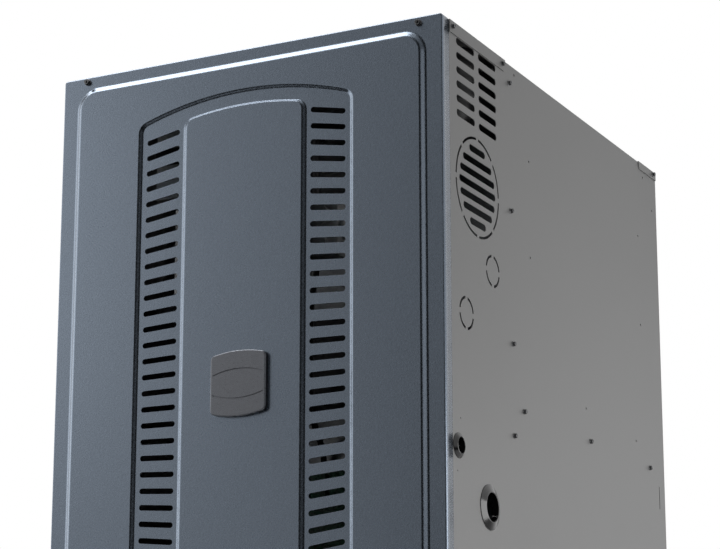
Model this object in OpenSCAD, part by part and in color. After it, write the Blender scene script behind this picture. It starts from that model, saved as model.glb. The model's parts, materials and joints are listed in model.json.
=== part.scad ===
// Upflow condensing forced air gas furnace in a sheet steel cabinet.
// Millimetres, +Z up, the door faces -Y, the origin is the bottom centre of the whole.
// A depth d is measured back from the door's border face, a drop down from the door's top.

/* [Cabinet] */
// Width of the cabinet over its two sides
cab_w = 533.4; // [520:0.1:580]
// Depth from the door's border face to the back
cab_d = 711.2; // [700:0.1:760]
// Height from the floor to the top edge of the door
cab_h = 863.6; // [855:0.1:920]
// Thickness of the sheet steel
sheet = 1; // [0.8:0.1:1.3]
// Height of the base rail under the door
rail_h = 30; // [24:1:34]
// Width of the front flanges that the door closes on
flange_w = 22; // [20:1:26]
// Depth of the hem behind each front flange
flange_hem = 8; // [4:1:10]
// Width of the top flanges that a duct is screwed to
duct_flange = 19; // [14:1:26]
// How far the door's top edge stands above the top cap
door_over = 2; // [1:0.5:3]
// Gap left between pieces that only rest against each other
seat = 0.3; // [0.2:0.05:0.4]

/* [Door] */
// Thickness of the door's sheet steel
door_t = 1.2; // [0.9:0.1:1.5]
// Depth of the return lips round the door
lip_d = 18; // [14:1:22]
// Width of the hems inside the side lips
hem_w = 14; // [10:1:18]
// How far the raised field stands proud of the border
field_h = 6; // [3:0.5:8]
// Border between the door's side edge and the raised field
field_side = 24.7; // [18:0.1:30]
// Border between the door's top or bottom edge and the raised field
field_end = 20.8; // [16:0.2:26]
// Corner radius of the field
field_r = 25; // [18:1:40]
// Distance from the door's top edge to the crown of the channel's arch
arch_drop = 56.2; // [52:0.2:64]
// Radius of the channel's arch
arch_r = 450; // [420:1:500]
// Half width of the arched channel
channel_half = 146.7; // [140:0.1:160]
// Corner radius of the channel
channel_r = 10.4; // [8:0.2:20]
// Corner radius of the centre panel
panel_r = 13.4; // [9:0.2:20]
// Half width of the centre panel
panel_half = 84; // [78:0.5:86]
// Distance between the crown of the channel and the crown of the centre panel
panel_drop = 14.8; // [12:0.2:24]
// Number of slots in a column
slot_count = 33; // [21:2:33]
// Distance between the slots of a column
slot_pitch = 20; // [16:0.5:20.5]
// Distance of a slot column from the middle of the door
slot_x = 115.4; // [113:0.2:118]
// Length of a slot
slot_l = 46; // [36:1:48]
// Height of a slot
slot_h = 6; // [4:0.5:8]
// Slope of the outermost slots, in degrees
slot_fan = 11; // [0:1:14]

/* [Badge and door screws] */
// Width of the bare badge plate
badge_w = 75; // [60:1:90]
// Height of the badge plate over its arcs
badge_l = 79.5; // [70:0.5:90]
// Thickness of the badge plate
badge_t = 4; // [2:0.5:5]
// Rise of the badge's top and bottom arcs
badge_rise = 5; // [3:0.5:8]
// Corner radius of the badge plate
badge_r = 6; // [5:0.5:10]
// Distance of a door screw from the middle of the door
door_screw_x = 233; // [225:1:236]
// Drop of the door screws below the top edge
door_screw_drop = 8; // [7:0.5:9]

/* [Side openings] */
// Number of louvre slots in a column
louvre_count = 6; // [3:1:6]
// Distance between louvre slots
louvre_pitch = 17.8; // [14:0.2:17.8]
// Drop of the first louvre slot
louvre_drop = 22.6; // [22.6:0.2:25]
// Depth of the front louvre column
louvre_front = 63.5; // [58:0.1:65]
// Depth of the rear louvre column
louvre_rear = 126.3; // [122:0.1:130]
// Length of a louvre slot
louvre_l = 51.3; // [40:0.1:52]
// Height of a louvre slot
louvre_h = 8.8; // [5:0.1:9]
// Depth of the round vent knock-out
vent_d = 94.7; // [88:0.1:98]
// Drop of the round vent knock-out
vent_drop = 190.6; // [188:0.1:200]
// Outer radius of the cut round the vent knock-out
vent_r = 62; // [50:0.5:62]
// Width of the cuts round the knock-outs
cut_w = 3.2; // [1.6:0.2:3.6]
// Radius of the two small knock-outs
knock_r = 20; // [14:0.5:22]
// Depth of the upper small knock-out
knock_up_d = 135.5; // [124:0.1:144]
// Drop of the upper small knock-out
knock_up_drop = 283.9; // [280:0.1:290]
// Depth of the lower small knock-out
knock_low_d = 59.3; // [50:0.1:66]
// Drop of the lower small knock-out
knock_low_drop = 352; // [336:0.1:356]

/* [Bushings] */
// Depth of the small bushing
small_d = 33.6; // [33.6:0.1:42]
// Drop of the small bushing
small_drop = 513; // [500:0.5:520]
// Outer radius of the small bushing
small_r = 14.9; // [13:0.1:16]
// Radius of the small bushing's bore
small_bore = 9.3; // [7:0.1:10]
// Depth of the large bushing
large_d = 118; // [112:0.5:130]
// Drop of the large bushing
large_drop = 572; // [560:0.1:574]
// Outer radius of the large bushing
large_r = 27.1; // [25:0.1:29]
// Radius of the large bushing's bore
large_bore = 17; // [14:0.1:19]
// How far a bushing stands out of the side
bush_out = 4; // [3:0.5:6]

/* [Side screws] */
// Depth of the front screw in each side flange of the top cap
cap_screw_front = 25.3; // [25:0.1:30]
// Depth of the rear screw in each side flange of the top cap
cap_screw_rear = 169.8; // [160:0.1:172]
// Drop of the screws in the top cap's side flanges
cap_screw_drop = 9.6; // [8:0.1:11]
// Distance of the screw in each rear tab from the cabinet's back
tab_screw_back = 12; // [10:0.5:16]
// Drop of the screw in each rear tab
tab_screw_drop = 6.4; // [6:0.1:8]
// Depth of the column of screws in the vestibule panel and the control tray
column_d = 192; // [190:0.5:194]
// Radius of a sheet metal screw
screw_r = 1.95; // [1.6:0.05:2.2]
// Width across the flats of its hexagon head
screw_hex = 6.4; // [5:0.1:7]
// Height of its head
screw_head = 3; // [2:0.5:4]

/* [Vestibule] */
// Depth of the front bay, to the vestibule panel
vest_d = 199; // [198:0.5:204]
// Drop of the burners' axis
burner_drop = 103.6; // [100:0.2:112]
// Number of burners and heat exchanger tubes
burner_count = 5; // [3:2:5]
// Distance between burners
burner_pitch = 66; // [60:1:68]
// Width of the burner box
box_w = 344; // [336:1:350]
// Height of the burner box
box_h = 96; // [92:1:104]
// Depth of the burner box
box_d = 124; // [118:1:130]
// Outer radius of the vent and air intake pipes
pipe_r = 30.15; // [28:0.05:31]
// Wall of the vent and air intake pipes
pipe_wall = 3.9; // [3:0.1:5]
// Distance of the two pipes from the middle of the cabinet
pipe_x = 213; // [212:0.5:216]
// Depth of the two pipes
pipe_d = 130; // [124:1:136]
// Depth of the pipes' sockets
socket_l = 38; // [30:1:45]

/* [Heat exchanger] */
// Outer radius of a primary tube
tube_r = 19; // [16:0.5:21]
// Wall of a primary tube
tube_wall = 1.2; // [0.8:0.1:1.6]
// Bend radius of a primary tube
bend_r = 45; // [42:1:47]
// Depth of the rear bends
rear_bend_d = 600; // [590:1:608]
// Depth of the front bends
front_bend_d = 270; // [266:1:290]
// Thickness of the foil-faced liners
liner_t = 10; // [6:1:12]

/* [Blower] */
// Height of the blower deck
deck_z = 436; // [434:0.5:440]
// Distance from the blower's axis to the deck
blower_drop = 200; // [192:1:206]
// Depth of the blower's axis
blower_d = 455; // [440:1:470]
// Width of the blower housing
scroll_w = 290; // [280:1:300]
// First radius of the scroll
scroll_r = 155; // [150:1:160]
// Growth of the scroll's radius in each quarter
scroll_grow = 13; // [10:1:15]
// Radius of the blower wheel
wheel_r = 135; // [125:1:138]
// Width of the blower wheel
wheel_w = 250; // [220:1:260]
// Number of blades on the blower wheel
wheel_blades = 36; // [24:1:40]
// Radius of the blower motor
motor_r = 70; // [60:1:76]
// Length of the blower motor
motor_l = 130; // [110:1:134]

/* [Inducer] */
// Distance of the inducer's axis from the middle of the cabinet
inducer_x = 158; // [156:1:160]
// Height of the inducer's axis above the deck
inducer_up = 76; // [74:1:82]
// Radius of the inducer housing
inducer_r = 75; // [72:1:77]
// Depth of the inducer housing
inducer_depth = 52; // [46:1:56]
// Radius of the inducer wheel
inducer_wheel_r = 60; // [50:1:64]
// Radius of the inducer motor
inducer_motor_r = 42; // [36:1:46]

/* [Moving parts] */
// Clearance round a shaft in its bearing
run_gap = 0.05; // [0.03:0.01:0.08]
// Radius of a rollout switch's reset button
reset_r = 3; // [2:0.5:3.5]
// How far a reset button stands out
reset_out = 4; // [3:0.5:5]
// Radius of the door switch's plunger
plunger_r = 2.5; // [2:0.25:3]
// Length of the door switch's plunger
plunger_l = 16; // [12:1:18]

/* [Hidden] */
$fn = 48;
// Segments of the door's large arcs
arc_fn = 240;
// Overrun of every cut
over = 1;
half_w = cab_w / 2;
in_w = half_w - sheet;
front_y = badge_t + field_h - (cab_d + badge_t + field_h) / 2;
back_d = cab_d - sheet;
cap_z = cab_h - door_over;
wall_z = cap_z - sheet - seat / 3;
fit_w = in_w - seat;
shell_d = lip_d + seat;
inner_d = shell_d + sheet;
steel = [0.58, 0.58, 0.58];
galvanised = [0.72, 0.73, 0.74];
paint = [0.37, 0.4, 0.45];
black = [0.08, 0.08, 0.08];
silver = [0.8, 0.81, 0.82];

function y_at(d) = front_y + d;
function z_at(drop) = cab_h - drop;

module block(lo, hi) {
    translate(lo) cube(hi - lo);
}

module slab(x, d, z) {
    block([x[0], y_at(d[0]), z[0]], [x[1], y_at(d[1]), z[1]]);
}

module rod_x(at, r, length) {
    translate(at) rotate([0, 90, 0]) cylinder(r = r, h = length);
}

module rod_y(at, r, length) {
    translate(at) rotate([-90, 0, 0]) cylinder(r = r, h = length);
}

module rod_z(at, r, length) {
    translate(at) cylinder(r = r, h = length);
}

module both_sides() {
    for (side = [0, 1])
        mirror([side, 0, 0]) children();
}

module stadium(length, height) {
    square([length - height, height], center = true);
    for (end = [-1, 1])
        translate([end * (length - height) / 2, 0]) circle(height / 2);
}

// A flat shape drawn in depth and height, run through both sides of the cabinet
module through_sides(d, z) {
    translate([-half_w - over, y_at(d), z])
        rotate([90, 0, 90]) linear_extrude(cab_w + 2 * over) children();
}

// Hexagon washer head screw, seated at z = 0 with its shank below
washer_t = 0.8;
module hex_screw(hex, head, washer_r, shank_r, shank_l) {
    cylinder(r = washer_r, h = washer_t);
    cylinder(r = hex / sqrt(3), h = washer_t + head, $fn = 6);
    translate([0, 0, -shank_l]) cylinder(r = shank_r, h = shank_l + washer_t / 2);
}

// Outline with arched ends about the middle: half width, crown, arc and corner radius
module arch_outline(half, crown, arc, r) {
    cx = half - r;
    cy = crown - arc + sqrt(pow(arc - r, 2) - pow(cx, 2));
    tx = cx * arc / (arc - r);
    square([2 * half, 2 * cy], center = true);
    for (side = [-1, 1], end = [-1, 1])
        translate([side * cx, end * cy]) circle(r);
    for (end = [-1, 1])
        intersection() {
            translate([0, end * (crown - arc)]) circle(arc, $fn = arc_fn);
            translate([-tx, min(0, end * crown)]) square([2 * tx, crown]);
        }
}

module round_rect(half, half_l, r) {
    square([2 * half, 2 * (half_l - r)], center = true);
    square([2 * (half - r), 2 * half_l], center = true);
    for (side = [-1, 1], end = [-1, 1])
        translate([side * (half - r), end * (half_l - r)]) circle(r);
}

// Front door

door_z = rail_h + seat;
door_top = cab_h;
door_mid = (door_top + door_z) / 2;
door_half = (door_top - door_z) / 2;
field_half = half_w - field_side;
field_len = door_half - field_end;
arch_crown = door_half - arch_drop;
panel_crown = arch_crown - panel_drop;
panel_arc = arch_r - panel_drop;
boss_r = 6;
screw_room = 0.6;
door_shank = 2.4;
tab_x = 180;
tab_w = 40;
tab_l = 8;
tab_d = 12;

// Puts a shape drawn flat, with z towards the viewer, onto the door's border face
module on_door() {
    translate([0, front_y, door_mid]) rotate([90, 0, 0]) children();
}

// Outlines of the channel and the centre panel, grown outwards by a given distance
module channel_outline(grow) {
    arch_outline(channel_half + grow, arch_crown + grow, arch_r + grow, channel_r + grow);
}

module panel_outline(grow) {
    arch_outline(panel_half + grow, panel_crown + grow, panel_arc + grow, panel_r + grow);
}

// The formed sheet: raised field, arched channel sunk to the border's level, raised centre
module door_face() {
    difference() {
        union() {
            translate([0, 0, -door_t]) linear_extrude(door_t)
                square([cab_w, 2 * door_half], center = true);
            translate([0, 0, -door_t]) linear_extrude(door_t + field_h)
                round_rect(field_half, field_len, field_r);
        }
        linear_extrude(field_h + over) difference() {
            channel_outline(0);
            panel_outline(0);
        }
        translate([0, 0, -door_t - over]) linear_extrude(field_h + over) difference() {
            round_rect(field_half - door_t, field_len - door_t, field_r - door_t);
            channel_outline(door_t);
        }
        translate([0, 0, -door_t - over]) linear_extrude(field_h + over)
            panel_outline(-door_t);
    }
}

module door_slots() {
    last = (slot_count - 1) / 2;
    for (side = [-1, 1], k = [-last:last])
        translate([side * slot_x, k * slot_pitch, -door_t - over])
            rotate(-side * slot_fan * k / last)
                linear_extrude(door_t + 2 * over) stadium(slot_l, slot_h);
}

module front_door() {
    color(paint) {
        on_door() difference() {
            union() {
                door_face();
                translate([0, 0, -lip_d]) linear_extrude(lip_d) difference() {
                    square([cab_w, 2 * door_half], center = true);
                    square([cab_w - 2 * door_t, 2 * (door_half - door_t)], center = true);
                }
                both_sides()
                    translate([half_w - hem_w, -door_half, -lip_d])
                        cube([hem_w, 2 * door_half, door_t]);
                both_sides()
                    translate([door_screw_x, door_half - door_screw_drop, -lip_d])
                        cylinder(r = boss_r, h = lip_d);
            }
            door_slots();
            both_sides()
                translate([door_screw_x, door_half - door_screw_drop, -lip_d - over])
                    cylinder(r = door_shank + screw_room / 2, h = lip_d + 2 * over);
        }
        both_sides()
            slab([tab_x - tab_w / 2, tab_x + tab_w / 2], [tab_d, tab_d + door_t],
                [door_z - tab_l, door_z]);
    }
}

groove_w = 1.4;
groove_d = 0.8;
groove_up = 20.5;
groove_down = 16.8;
groove_r = 104;
module badge() {
    arc = (pow(badge_w / 2, 2) + pow(badge_rise, 2)) / (2 * badge_rise);
    color(black) on_door() translate([0, 0, field_h]) difference() {
        linear_extrude(badge_t) arch_outline(badge_w / 2, badge_l / 2, arc, badge_r);
        for (end = [-1, 1])
            translate([0, end > 0 ? groove_up - groove_r : groove_r - groove_down,
                badge_t - groove_d])
                difference() {
                    cylinder(r = groove_r, h = badge_t, $fn = arc_fn);
                    translate([0, 0, -over])
                        cylinder(r = groove_r - groove_w, h = badge_t + 2 * over, $fn = arc_fn);
                    translate([-groove_r - over, end > 0 ? -groove_r - over : 0, -over])
                        cube([2 * (groove_r + over), groove_r + over, badge_t + 2 * over]);
                }
    }
}

door_hex = 8;
door_head = 4;
door_washer = 5.3;
door_screw_past = 9;
door_shank_l = lip_d + door_screw_past;
module door_screws() {
    color(silver) on_door() both_sides()
        translate([door_screw_x, door_half - door_screw_drop, 0])
            hex_screw(door_hex, door_head, door_washer, door_shank, door_shank_l);
}

// Cabinet

hole_room = 0.15;
hole_fn = 24;
// Places of the small holes in each side, as shares of the cabinet's depth and height
tool_r = 1.6;
tool_shares = [[0.294, 0.014], [0.353, 0.132], [0.352, 0.277], [0.928, 0.025],
    [0.975, 0.072], [0.892, 0.132], [0.892, 0.28], [0.598, 0.461], [0.85, 0.475]];
pilot_r = 1;
pilot_shares = [[0.056, 0.556], [0.043, 0.628]];
slit_back = 21.5;
slit_drop = 476;
slit_l = 32;
slit_w = 2;
vent_bridge = 6;
vent_bridges = 8;
small_bridges = 4;
vent_slot_h = 8.6;
vent_slot_pitch = 15.1;
// Lengths of the vent knock-out's slots, as shares of its radius
vent_slot_shares = [0.76, 1.38, 1.66, 1.75, 1.66, 1.38, 0.76];
small_step = 2.5;
large_step = 3.5;
neck_small = small_r - small_step;
neck_large = large_r - large_step;

module ring_cut(r, bridges, start) {
    difference() {
        circle(r);
        circle(r - cut_w);
        for (k = [0:bridges - 1])
            rotate(start + k * 360 / bridges)
                translate([0, -vent_bridge / 2]) square([r + over, vent_bridge]);
    }
}

module small_holes(r, shares) {
    for (p = shares)
        through_sides(p[0] * cab_d, z_at(p[1] * cab_h)) circle(r, $fn = hole_fn);
}

module side_cuts() {
    middle = (len(vent_slot_shares) - 1) / 2;
    for (d = [louvre_front, louvre_rear], k = [0:louvre_count - 1])
        through_sides(d, z_at(louvre_drop + k * louvre_pitch)) stadium(louvre_l, louvre_h);
    through_sides(vent_d, z_at(vent_drop)) {
        ring_cut(vent_r, vent_bridges, 0);
        for (k = [0:len(vent_slot_shares) - 1])
            translate([0, (k - middle) * vent_slot_pitch])
                stadium(vent_slot_shares[k] * (vent_r - cut_w), vent_slot_h);
    }
    through_sides(knock_up_d, z_at(knock_up_drop)) ring_cut(knock_r, small_bridges, 0);
    through_sides(knock_low_d, z_at(knock_low_drop)) ring_cut(knock_r, small_bridges, 0);
    through_sides(small_d, z_at(small_drop)) circle(neck_small + seat);
    through_sides(large_d, z_at(large_drop)) circle(neck_large + seat);
    small_holes(tool_r, tool_shares);
    small_holes(pilot_r, pilot_shares);
    through_sides(cab_d - slit_back, z_at(slit_drop)) rotate(90) stadium(slit_l, slit_w);
}

module screw_holes(places) {
    for (p = places)
        through_sides(p[0], z_at(p[1])) circle(screw_r + hole_room, $fn = hole_fn);
}

cap_screws = [[cap_screw_front, cap_screw_drop], [cap_screw_rear, cap_screw_drop]];
tab_screw = [cab_d - tab_screw_back, tab_screw_drop];
// Drops of the screws in the column, as shares of the cabinet's height
column_shares = [0.0324, 0.2243, 0.4186, 0.5496];
column_screws = [for (share = column_shares) [column_d, share * cab_h]];
deck_flange = 16;
// Depths of the screws in the blower deck, as shares of the cabinet's depth
deck_screw_shares = [0.313, 0.615, 0.919];
deck_screws = [for (share = deck_screw_shares)
    [share * cab_d, cab_h - deck_z + 3 * deck_flange / 4]];
switch_in = 10;
switch_z = door_mid;
switch_x = half_w - switch_in;

// A side with its front flange and hem and its part of the duct flange
module side_panel(side) {
    color(steel) difference() {
        mirror([(1 - side) / 2, 0, 0]) {
            slab([in_w, half_w], [shell_d, cab_d], [0, wall_z]);
            slab([half_w - flange_w, half_w], [shell_d, inner_d], [sheet + seat, wall_z]);
            slab([half_w - flange_w, half_w - flange_w + sheet],
                [shell_d, inner_d + flange_hem], [sheet + seat, wall_z]);
            slab([in_w - duct_flange, in_w + sheet / 2],
                [vest_d + duct_flange, back_d - duct_flange], [wall_z - sheet, wall_z]);
        }
        side_cuts();
        screw_holes(concat(cap_screws, [tab_screw], column_screws, deck_screws));
        rod_y([switch_x, y_at(shell_d - over), switch_z], plunger_r + screw_room,
            sheet + 2 * over);
    }
}

module left_side_panel() {
    side_panel(-1);
}

module right_side_panel() {
    side_panel(1);
}

module back_panel() {
    color(steel) {
        slab([-in_w, in_w], [back_d, cab_d], [0, wall_z]);
        slab([-in_w, in_w], [back_d - duct_flange, cab_d], [wall_z - sheet, wall_z]);
    }
}

cap_lap = seat / 3;
cap_side_end = 180;
cap_side_h = 15.5;
cap_corner = 5;
cap_front_h = 25;
cap_out = half_w + cap_lap + sheet;
module top_cap() {
    color(steel) difference() {
        union() {
            slab([-cap_out, cap_out], [shell_d + seat, cap_side_end], [cap_z - sheet, cap_z]);
            slab([-fit_w, fit_w], [shell_d + seat, vest_d + deck_flange],
                [cap_z - sheet, cap_z]);
            both_sides() intersection() {
                slab([half_w + cap_lap, cap_out], [shell_d + seat, cap_side_end],
                    [cap_z - cap_side_h, cap_z]);
                union() {
                    through_cap(shell_d, cap_side_end - cap_corner, cap_side_h);
                    through_cap(shell_d, cap_side_end, cap_side_h - cap_corner);
                    rod_x([0, y_at(cap_side_end - cap_corner), cap_z - cap_side_h + cap_corner],
                        cap_corner, cap_out + over);
                }
            }
            slab([-half_w + flange_w + seat, half_w - flange_w - seat],
                [shell_d + seat, inner_d + seat], [cap_z - cap_front_h, cap_z]);
        }
        screw_bore(cap_screws);
        both_sides()
            rod_y([door_screw_x, y_at(shell_d - over), cab_h - door_screw_drop],
                door_shank + screw_room, sheet + seat + 2 * over);
        both_sides()
            rod_z([pipe_x, y_at(pipe_d), cap_z - sheet - over],
                pipe_r + pipe_wall + sheet + seat, sheet + 2 * over);
    }
}

module through_cap(from, to, high) {
    slab([0, cap_out + over], [from, to], [cap_z - high, cap_z + over]);
}

module screw_bore(places) {
    for (p = places)
        translate([-cap_out - over, y_at(p[0]), z_at(p[1])]) rotate([0, 90, 0])
            cylinder(r = screw_r + hole_room, h = 2 * (cap_out + over), $fn = hole_fn);
}

rear_tab_l = 67.7;
rear_tab_d = cab_d - rear_tab_l;
rear_tab_h = 11;
rear_plate = 24;
module rear_top_rail() {
    color(steel) difference() {
        union() {
            slab([-cap_out, cap_out], [cab_d - rear_plate, cab_d], [cap_z - sheet, cap_z]);
            both_sides() {
                slab([in_w - duct_flange, cap_out], [rear_tab_d, cab_d],
                    [cap_z - sheet, cap_z]);
                slab([half_w + cap_lap, cap_out], [rear_tab_d + rear_tab_h / 2, cab_d],
                    [cap_z - rear_tab_h, cap_z]);
                slab([half_w + cap_lap, cap_out], [rear_tab_d, cab_d],
                    [cap_z - rear_tab_h / 2, cap_z]);
                rod_x([half_w + cap_lap, y_at(rear_tab_d + rear_tab_h / 2),
                    cap_z - rear_tab_h / 2], rear_tab_h / 2, sheet);
            }
        }
        screw_bore([tab_screw]);
    }
}

rail_set = 2;
return_flange = 14;
return_side = 26;
module base_frame() {
    inner = in_w - return_side;
    color(steel) difference() {
        union() {
            slab([-half_w, half_w], [rail_set, rail_set + sheet], [0, rail_h]);
            slab([-half_w, half_w], [rail_set, lip_d], [rail_h - sheet, rail_h]);
            both_sides()
                slab([half_w - sheet, half_w], [rail_set, lip_d], [0, rail_h]);
            slab([-fit_w, fit_w], [rail_set, back_d - seat], [0, sheet]);
            both_sides()
                slab([inner, inner + sheet], [vest_d + return_flange, back_d - return_side],
                    [0, return_flange]);
            for (d = [vest_d + return_flange, back_d - return_side - sheet])
                slab([-inner, inner], [d, d + sheet], [0, return_flange]);
        }
        slab([-inner, inner],
            [vest_d + return_flange + sheet, back_d - return_side - sheet],
            [-over, return_flange + over]);
        both_sides()
            slab([tab_x - tab_w / 2 - sheet, tab_x + tab_w / 2 + sheet],
                [tab_d - sheet, lip_d - sheet], [rail_h - sheet - over, rail_h + over]);
    }
}

panel_flange = 15;
// A partition with its two side flanges pointing to the front
module partition(z) {
    slab([-fit_w, fit_w], [vest_d, vest_d + sheet], z);
    both_sides()
        slab([fit_w - sheet, fit_w], [vest_d - panel_flange, vest_d + sheet], z);
}

burner_z = z_at(burner_drop);
port_gap = 0.2;
window_w = 340;
window_up = 20;
window_h = 86;
window = [deck_z + window_up, deck_z + window_up + window_h];
limit_drop = 110;
limit_lap = 3;
limit_z = burner_z - limit_drop;
limit_x = burner_pitch / 2;
limit_r = 15;
function burner_x(k) = (k - (burner_count - 1) / 2) * burner_pitch;

module vestibule_panel() {
    color(galvanised) difference() {
        partition([deck_z - 2 * deck_flange, cap_z - sheet - seat]);
        screw_holes(column_screws);
        for (k = [0:burner_count - 1])
            rod_y([burner_x(k), y_at(vest_d - over), burner_z], tube_r + port_gap,
                sheet + 2 * over);
        slab([-window_w / 2, window_w / 2], [vest_d - over, vest_d + sheet + over], window);
        rod_y([limit_x, y_at(vest_d - over), limit_z], limit_r - limit_lap, sheet + 2 * over);
    }
}

tray_low = 240;
tray_z = [tray_low, deck_z - 2 * deck_flange - seat];
module control_tray() {
    color(galvanised) difference() {
        partition(tray_z);
        screw_holes(column_screws);
    }
}

panel_lap = 18;
thumb_in = 25.4;
thumb_x = fit_w - thumb_in;
module blower_panel() {
    color(galvanised) difference() {
        union() {
            partition([sheet + seat, tray_z[0] - seat]);
            slab([-fit_w + 2 * sheet, fit_w - 2 * sheet], [vest_d - sheet - seat, vest_d - seat],
                [tray_z[0] - 2 * panel_lap, tray_z[0] + panel_lap]);
            slab([-fit_w + 2 * sheet, fit_w - 2 * sheet], [vest_d - sheet - seat, vest_d],
                [tray_z[0] - 2 * panel_lap, tray_z[0] - 2 * panel_lap + sheet]);
        }
        both_sides()
            rod_y([thumb_x, y_at(vest_d - panel_lap), tray_z[0] + panel_lap / 2],
                screw_r + hole_room, panel_lap);
    }
}

thumb_r = 8;
thumb_l = 10;
module thumb_screws() {
    seat_d = vest_d - sheet - seat;
    color(silver) both_sides() {
        rod_y([thumb_x, y_at(seat_d - thumb_l), tray_z[0] + panel_lap / 2], thumb_r, thumb_l);
        rod_y([thumb_x, y_at(seat_d - over), tray_z[0] + panel_lap / 2], screw_r,
            over + sheet);
    }
}

outlet_d0 = 10;
scroll_back = scroll_r + 3 * scroll_grow;
module blower_deck() {
    d0 = vest_d + sheet + seat;
    d1 = back_d - seat;
    color(galvanised) difference() {
        union() {
            slab([-fit_w, fit_w], [d0, d1], [deck_z - sheet, deck_z]);
            both_sides()
                slab([fit_w - sheet, fit_w], [d0, d1], [deck_z - deck_flange, deck_z]);
            for (d = [d0, d1 - sheet])
                slab([-fit_w, fit_w], [d, d + sheet], [deck_z - deck_flange, deck_z]);
        }
        slab([-scroll_w / 2 + sheet, scroll_w / 2 - sheet],
            [blower_d + outlet_d0 + sheet, blower_d + scroll_back - sheet],
            [deck_z - sheet - over, deck_z + over]);
        screw_holes(deck_screws);
    }
}

liner_top = wall_z - sheet - seat;
liner_gap = 1;
liner_d = vest_d + sheet + liner_gap;
module side_liners() {
    color(silver) both_sides() difference() {
        slab([fit_w - liner_t, fit_w], [liner_d, back_d - seat], [deck_z + seat, liner_top]);
        rod_x([in_w - deck_flange, y_at(tab_screw[0]), z_at(tab_screw[1])], 3 * screw_r,
            deck_flange);
    }
}

module back_liner() {
    color(silver)
        slab([-fit_w + liner_t + seat, fit_w - liner_t - seat],
            [back_d - seat - liner_t, back_d - seat], [deck_z + seat, liner_top]);
}

screw_l = 8;
screw_washer = 4.2;
module casing_screws() {
    lapped = concat(cap_screws, [tab_screw]);
    color(silver) both_sides() {
        for (p = lapped)
            translate([cap_out, y_at(p[0]), z_at(p[1])]) rotate([0, 90, 0])
                hex_screw(screw_hex, screw_head, screw_washer, screw_r, screw_l);
        for (p = concat(column_screws, deck_screws))
            translate([half_w, y_at(p[0]), z_at(p[1])]) rotate([0, 90, 0])
                hex_screw(screw_hex, screw_head, screw_washer, screw_r, screw_l);
    }
}

// Bushings, turned about x with the bevelled collar outside
bush_in = 3;
bush_rim = 0.8;
module bushing(d, drop, r, neck, bore) {
    translate([half_w, y_at(d), z_at(drop)]) rotate([0, 90, 0]) rotate_extrude()
        polygon([[bore, bush_out], [bore, -sheet - bush_in], [neck, -sheet - bush_in],
            [neck + seat / 2, -sheet - seat / 2], [neck, -sheet - seat / 2], [neck, 0],
            [r, 0], [r, bush_rim], [bore + bush_rim, bush_out]]);
}

module small_bushings() {
    color(black) both_sides() bushing(small_d, small_drop, small_r, neck_small, small_bore);
}

module large_bushings() {
    color(black) both_sides() bushing(large_d, large_drop, large_r, neck_large, large_bore);
}

// Vent and air intake

bell_r = pipe_r + pipe_wall + run_gap;
collar_w = 9;
module pipe_collar(x) {
    color(black) translate([x, y_at(pipe_d), cap_z]) rotate_extrude()
        polygon([[bell_r + port_gap, -sheet - bush_in], [bell_r + sheet, -sheet - bush_in],
            [bell_r + sheet, 0], [bell_r + collar_w, 0], [bell_r + collar_w, door_over / 2],
            [bell_r + collar_w - door_over / 2, door_over], [bell_r + port_gap, door_over]]);
}

module vent_collar() {
    pipe_collar(-pipe_x);
}

module intake_collar() {
    pipe_collar(pipe_x);
}

socket_room = 0.15;
module socket_pipe(low) {
    difference() {
        union() {
            cylinder(r = pipe_r, h = cap_z - low);
            translate([0, 0, cap_z - low - socket_l - pipe_wall])
                cylinder(r = bell_r, h = socket_l + pipe_wall);
        }
        translate([0, 0, -over]) cylinder(r = pipe_r - pipe_wall, h = cap_z - low + 2 * over);
        translate([0, 0, cap_z - low - socket_l])
            cylinder(r = pipe_r + socket_room, h = socket_l + over);
    }
}

inducer_z = deck_z + inducer_up;
outlet_w = 2 * pipe_r;
neck_up = 22;
neck_z = inducer_z + inducer_r + neck_up;
neck_l = 35;
module vent_pipe() {
    color("white") translate([-pipe_x, y_at(pipe_d), neck_z + seat])
        socket_pipe(neck_z + seat);
}

elbow_r = pipe_x - box_w / 2 - port_gap;
elbow_hub_l = 14;
elbow_hub_lap = 3;
module intake_pipe() {
    start = burner_z + elbow_r;
    color("white") translate([pipe_x, y_at(pipe_d), start]) {
        socket_pipe(start);
        translate([-elbow_r, 0, 0]) rotate([-90, 0, 0]) rotate_extrude(angle = 90)
            translate([elbow_r, 0]) difference() {
                circle(pipe_r);
                circle(pipe_r - pipe_wall);
            }
        translate([0, 0, -elbow_hub_lap]) difference() {
            cylinder(r = bell_r, h = elbow_hub_lap + elbow_hub_l);
            translate([0, 0, -over])
                cylinder(r = pipe_r - pipe_wall / 2, h = elbow_hub_lap + elbow_hub_l + 2 * over);
        }
    }
}

// Burners

box_d0 = vest_d - box_d;
box_z = [burner_z - box_h / 2, burner_z + box_h / 2];
probe_set = 16;
probe_d = vest_d - probe_set;
igniter_r = 3.5;
sensor_r = 1.6;
probe_room = 0.8;
module burner_box() {
    color(galvanised) difference() {
        slab([-box_w / 2, box_w / 2], [box_d0, vest_d], box_z);
        slab([-box_w / 2 + sheet, box_w / 2 - sheet], [box_d0 - over, vest_d + over],
            [box_z[0] + sheet, box_z[1] - sheet]);
        rod_x([box_w / 2 - 2 * sheet, y_at(pipe_d), burner_z], pipe_r - pipe_wall, 3 * sheet);
        for (k = [0, burner_count - 1])
            rod_z([burner_x(k), y_at(probe_d), box_z[0] - over], igniter_r + probe_room,
                sheet + 2 * over);
    }
}

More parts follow.
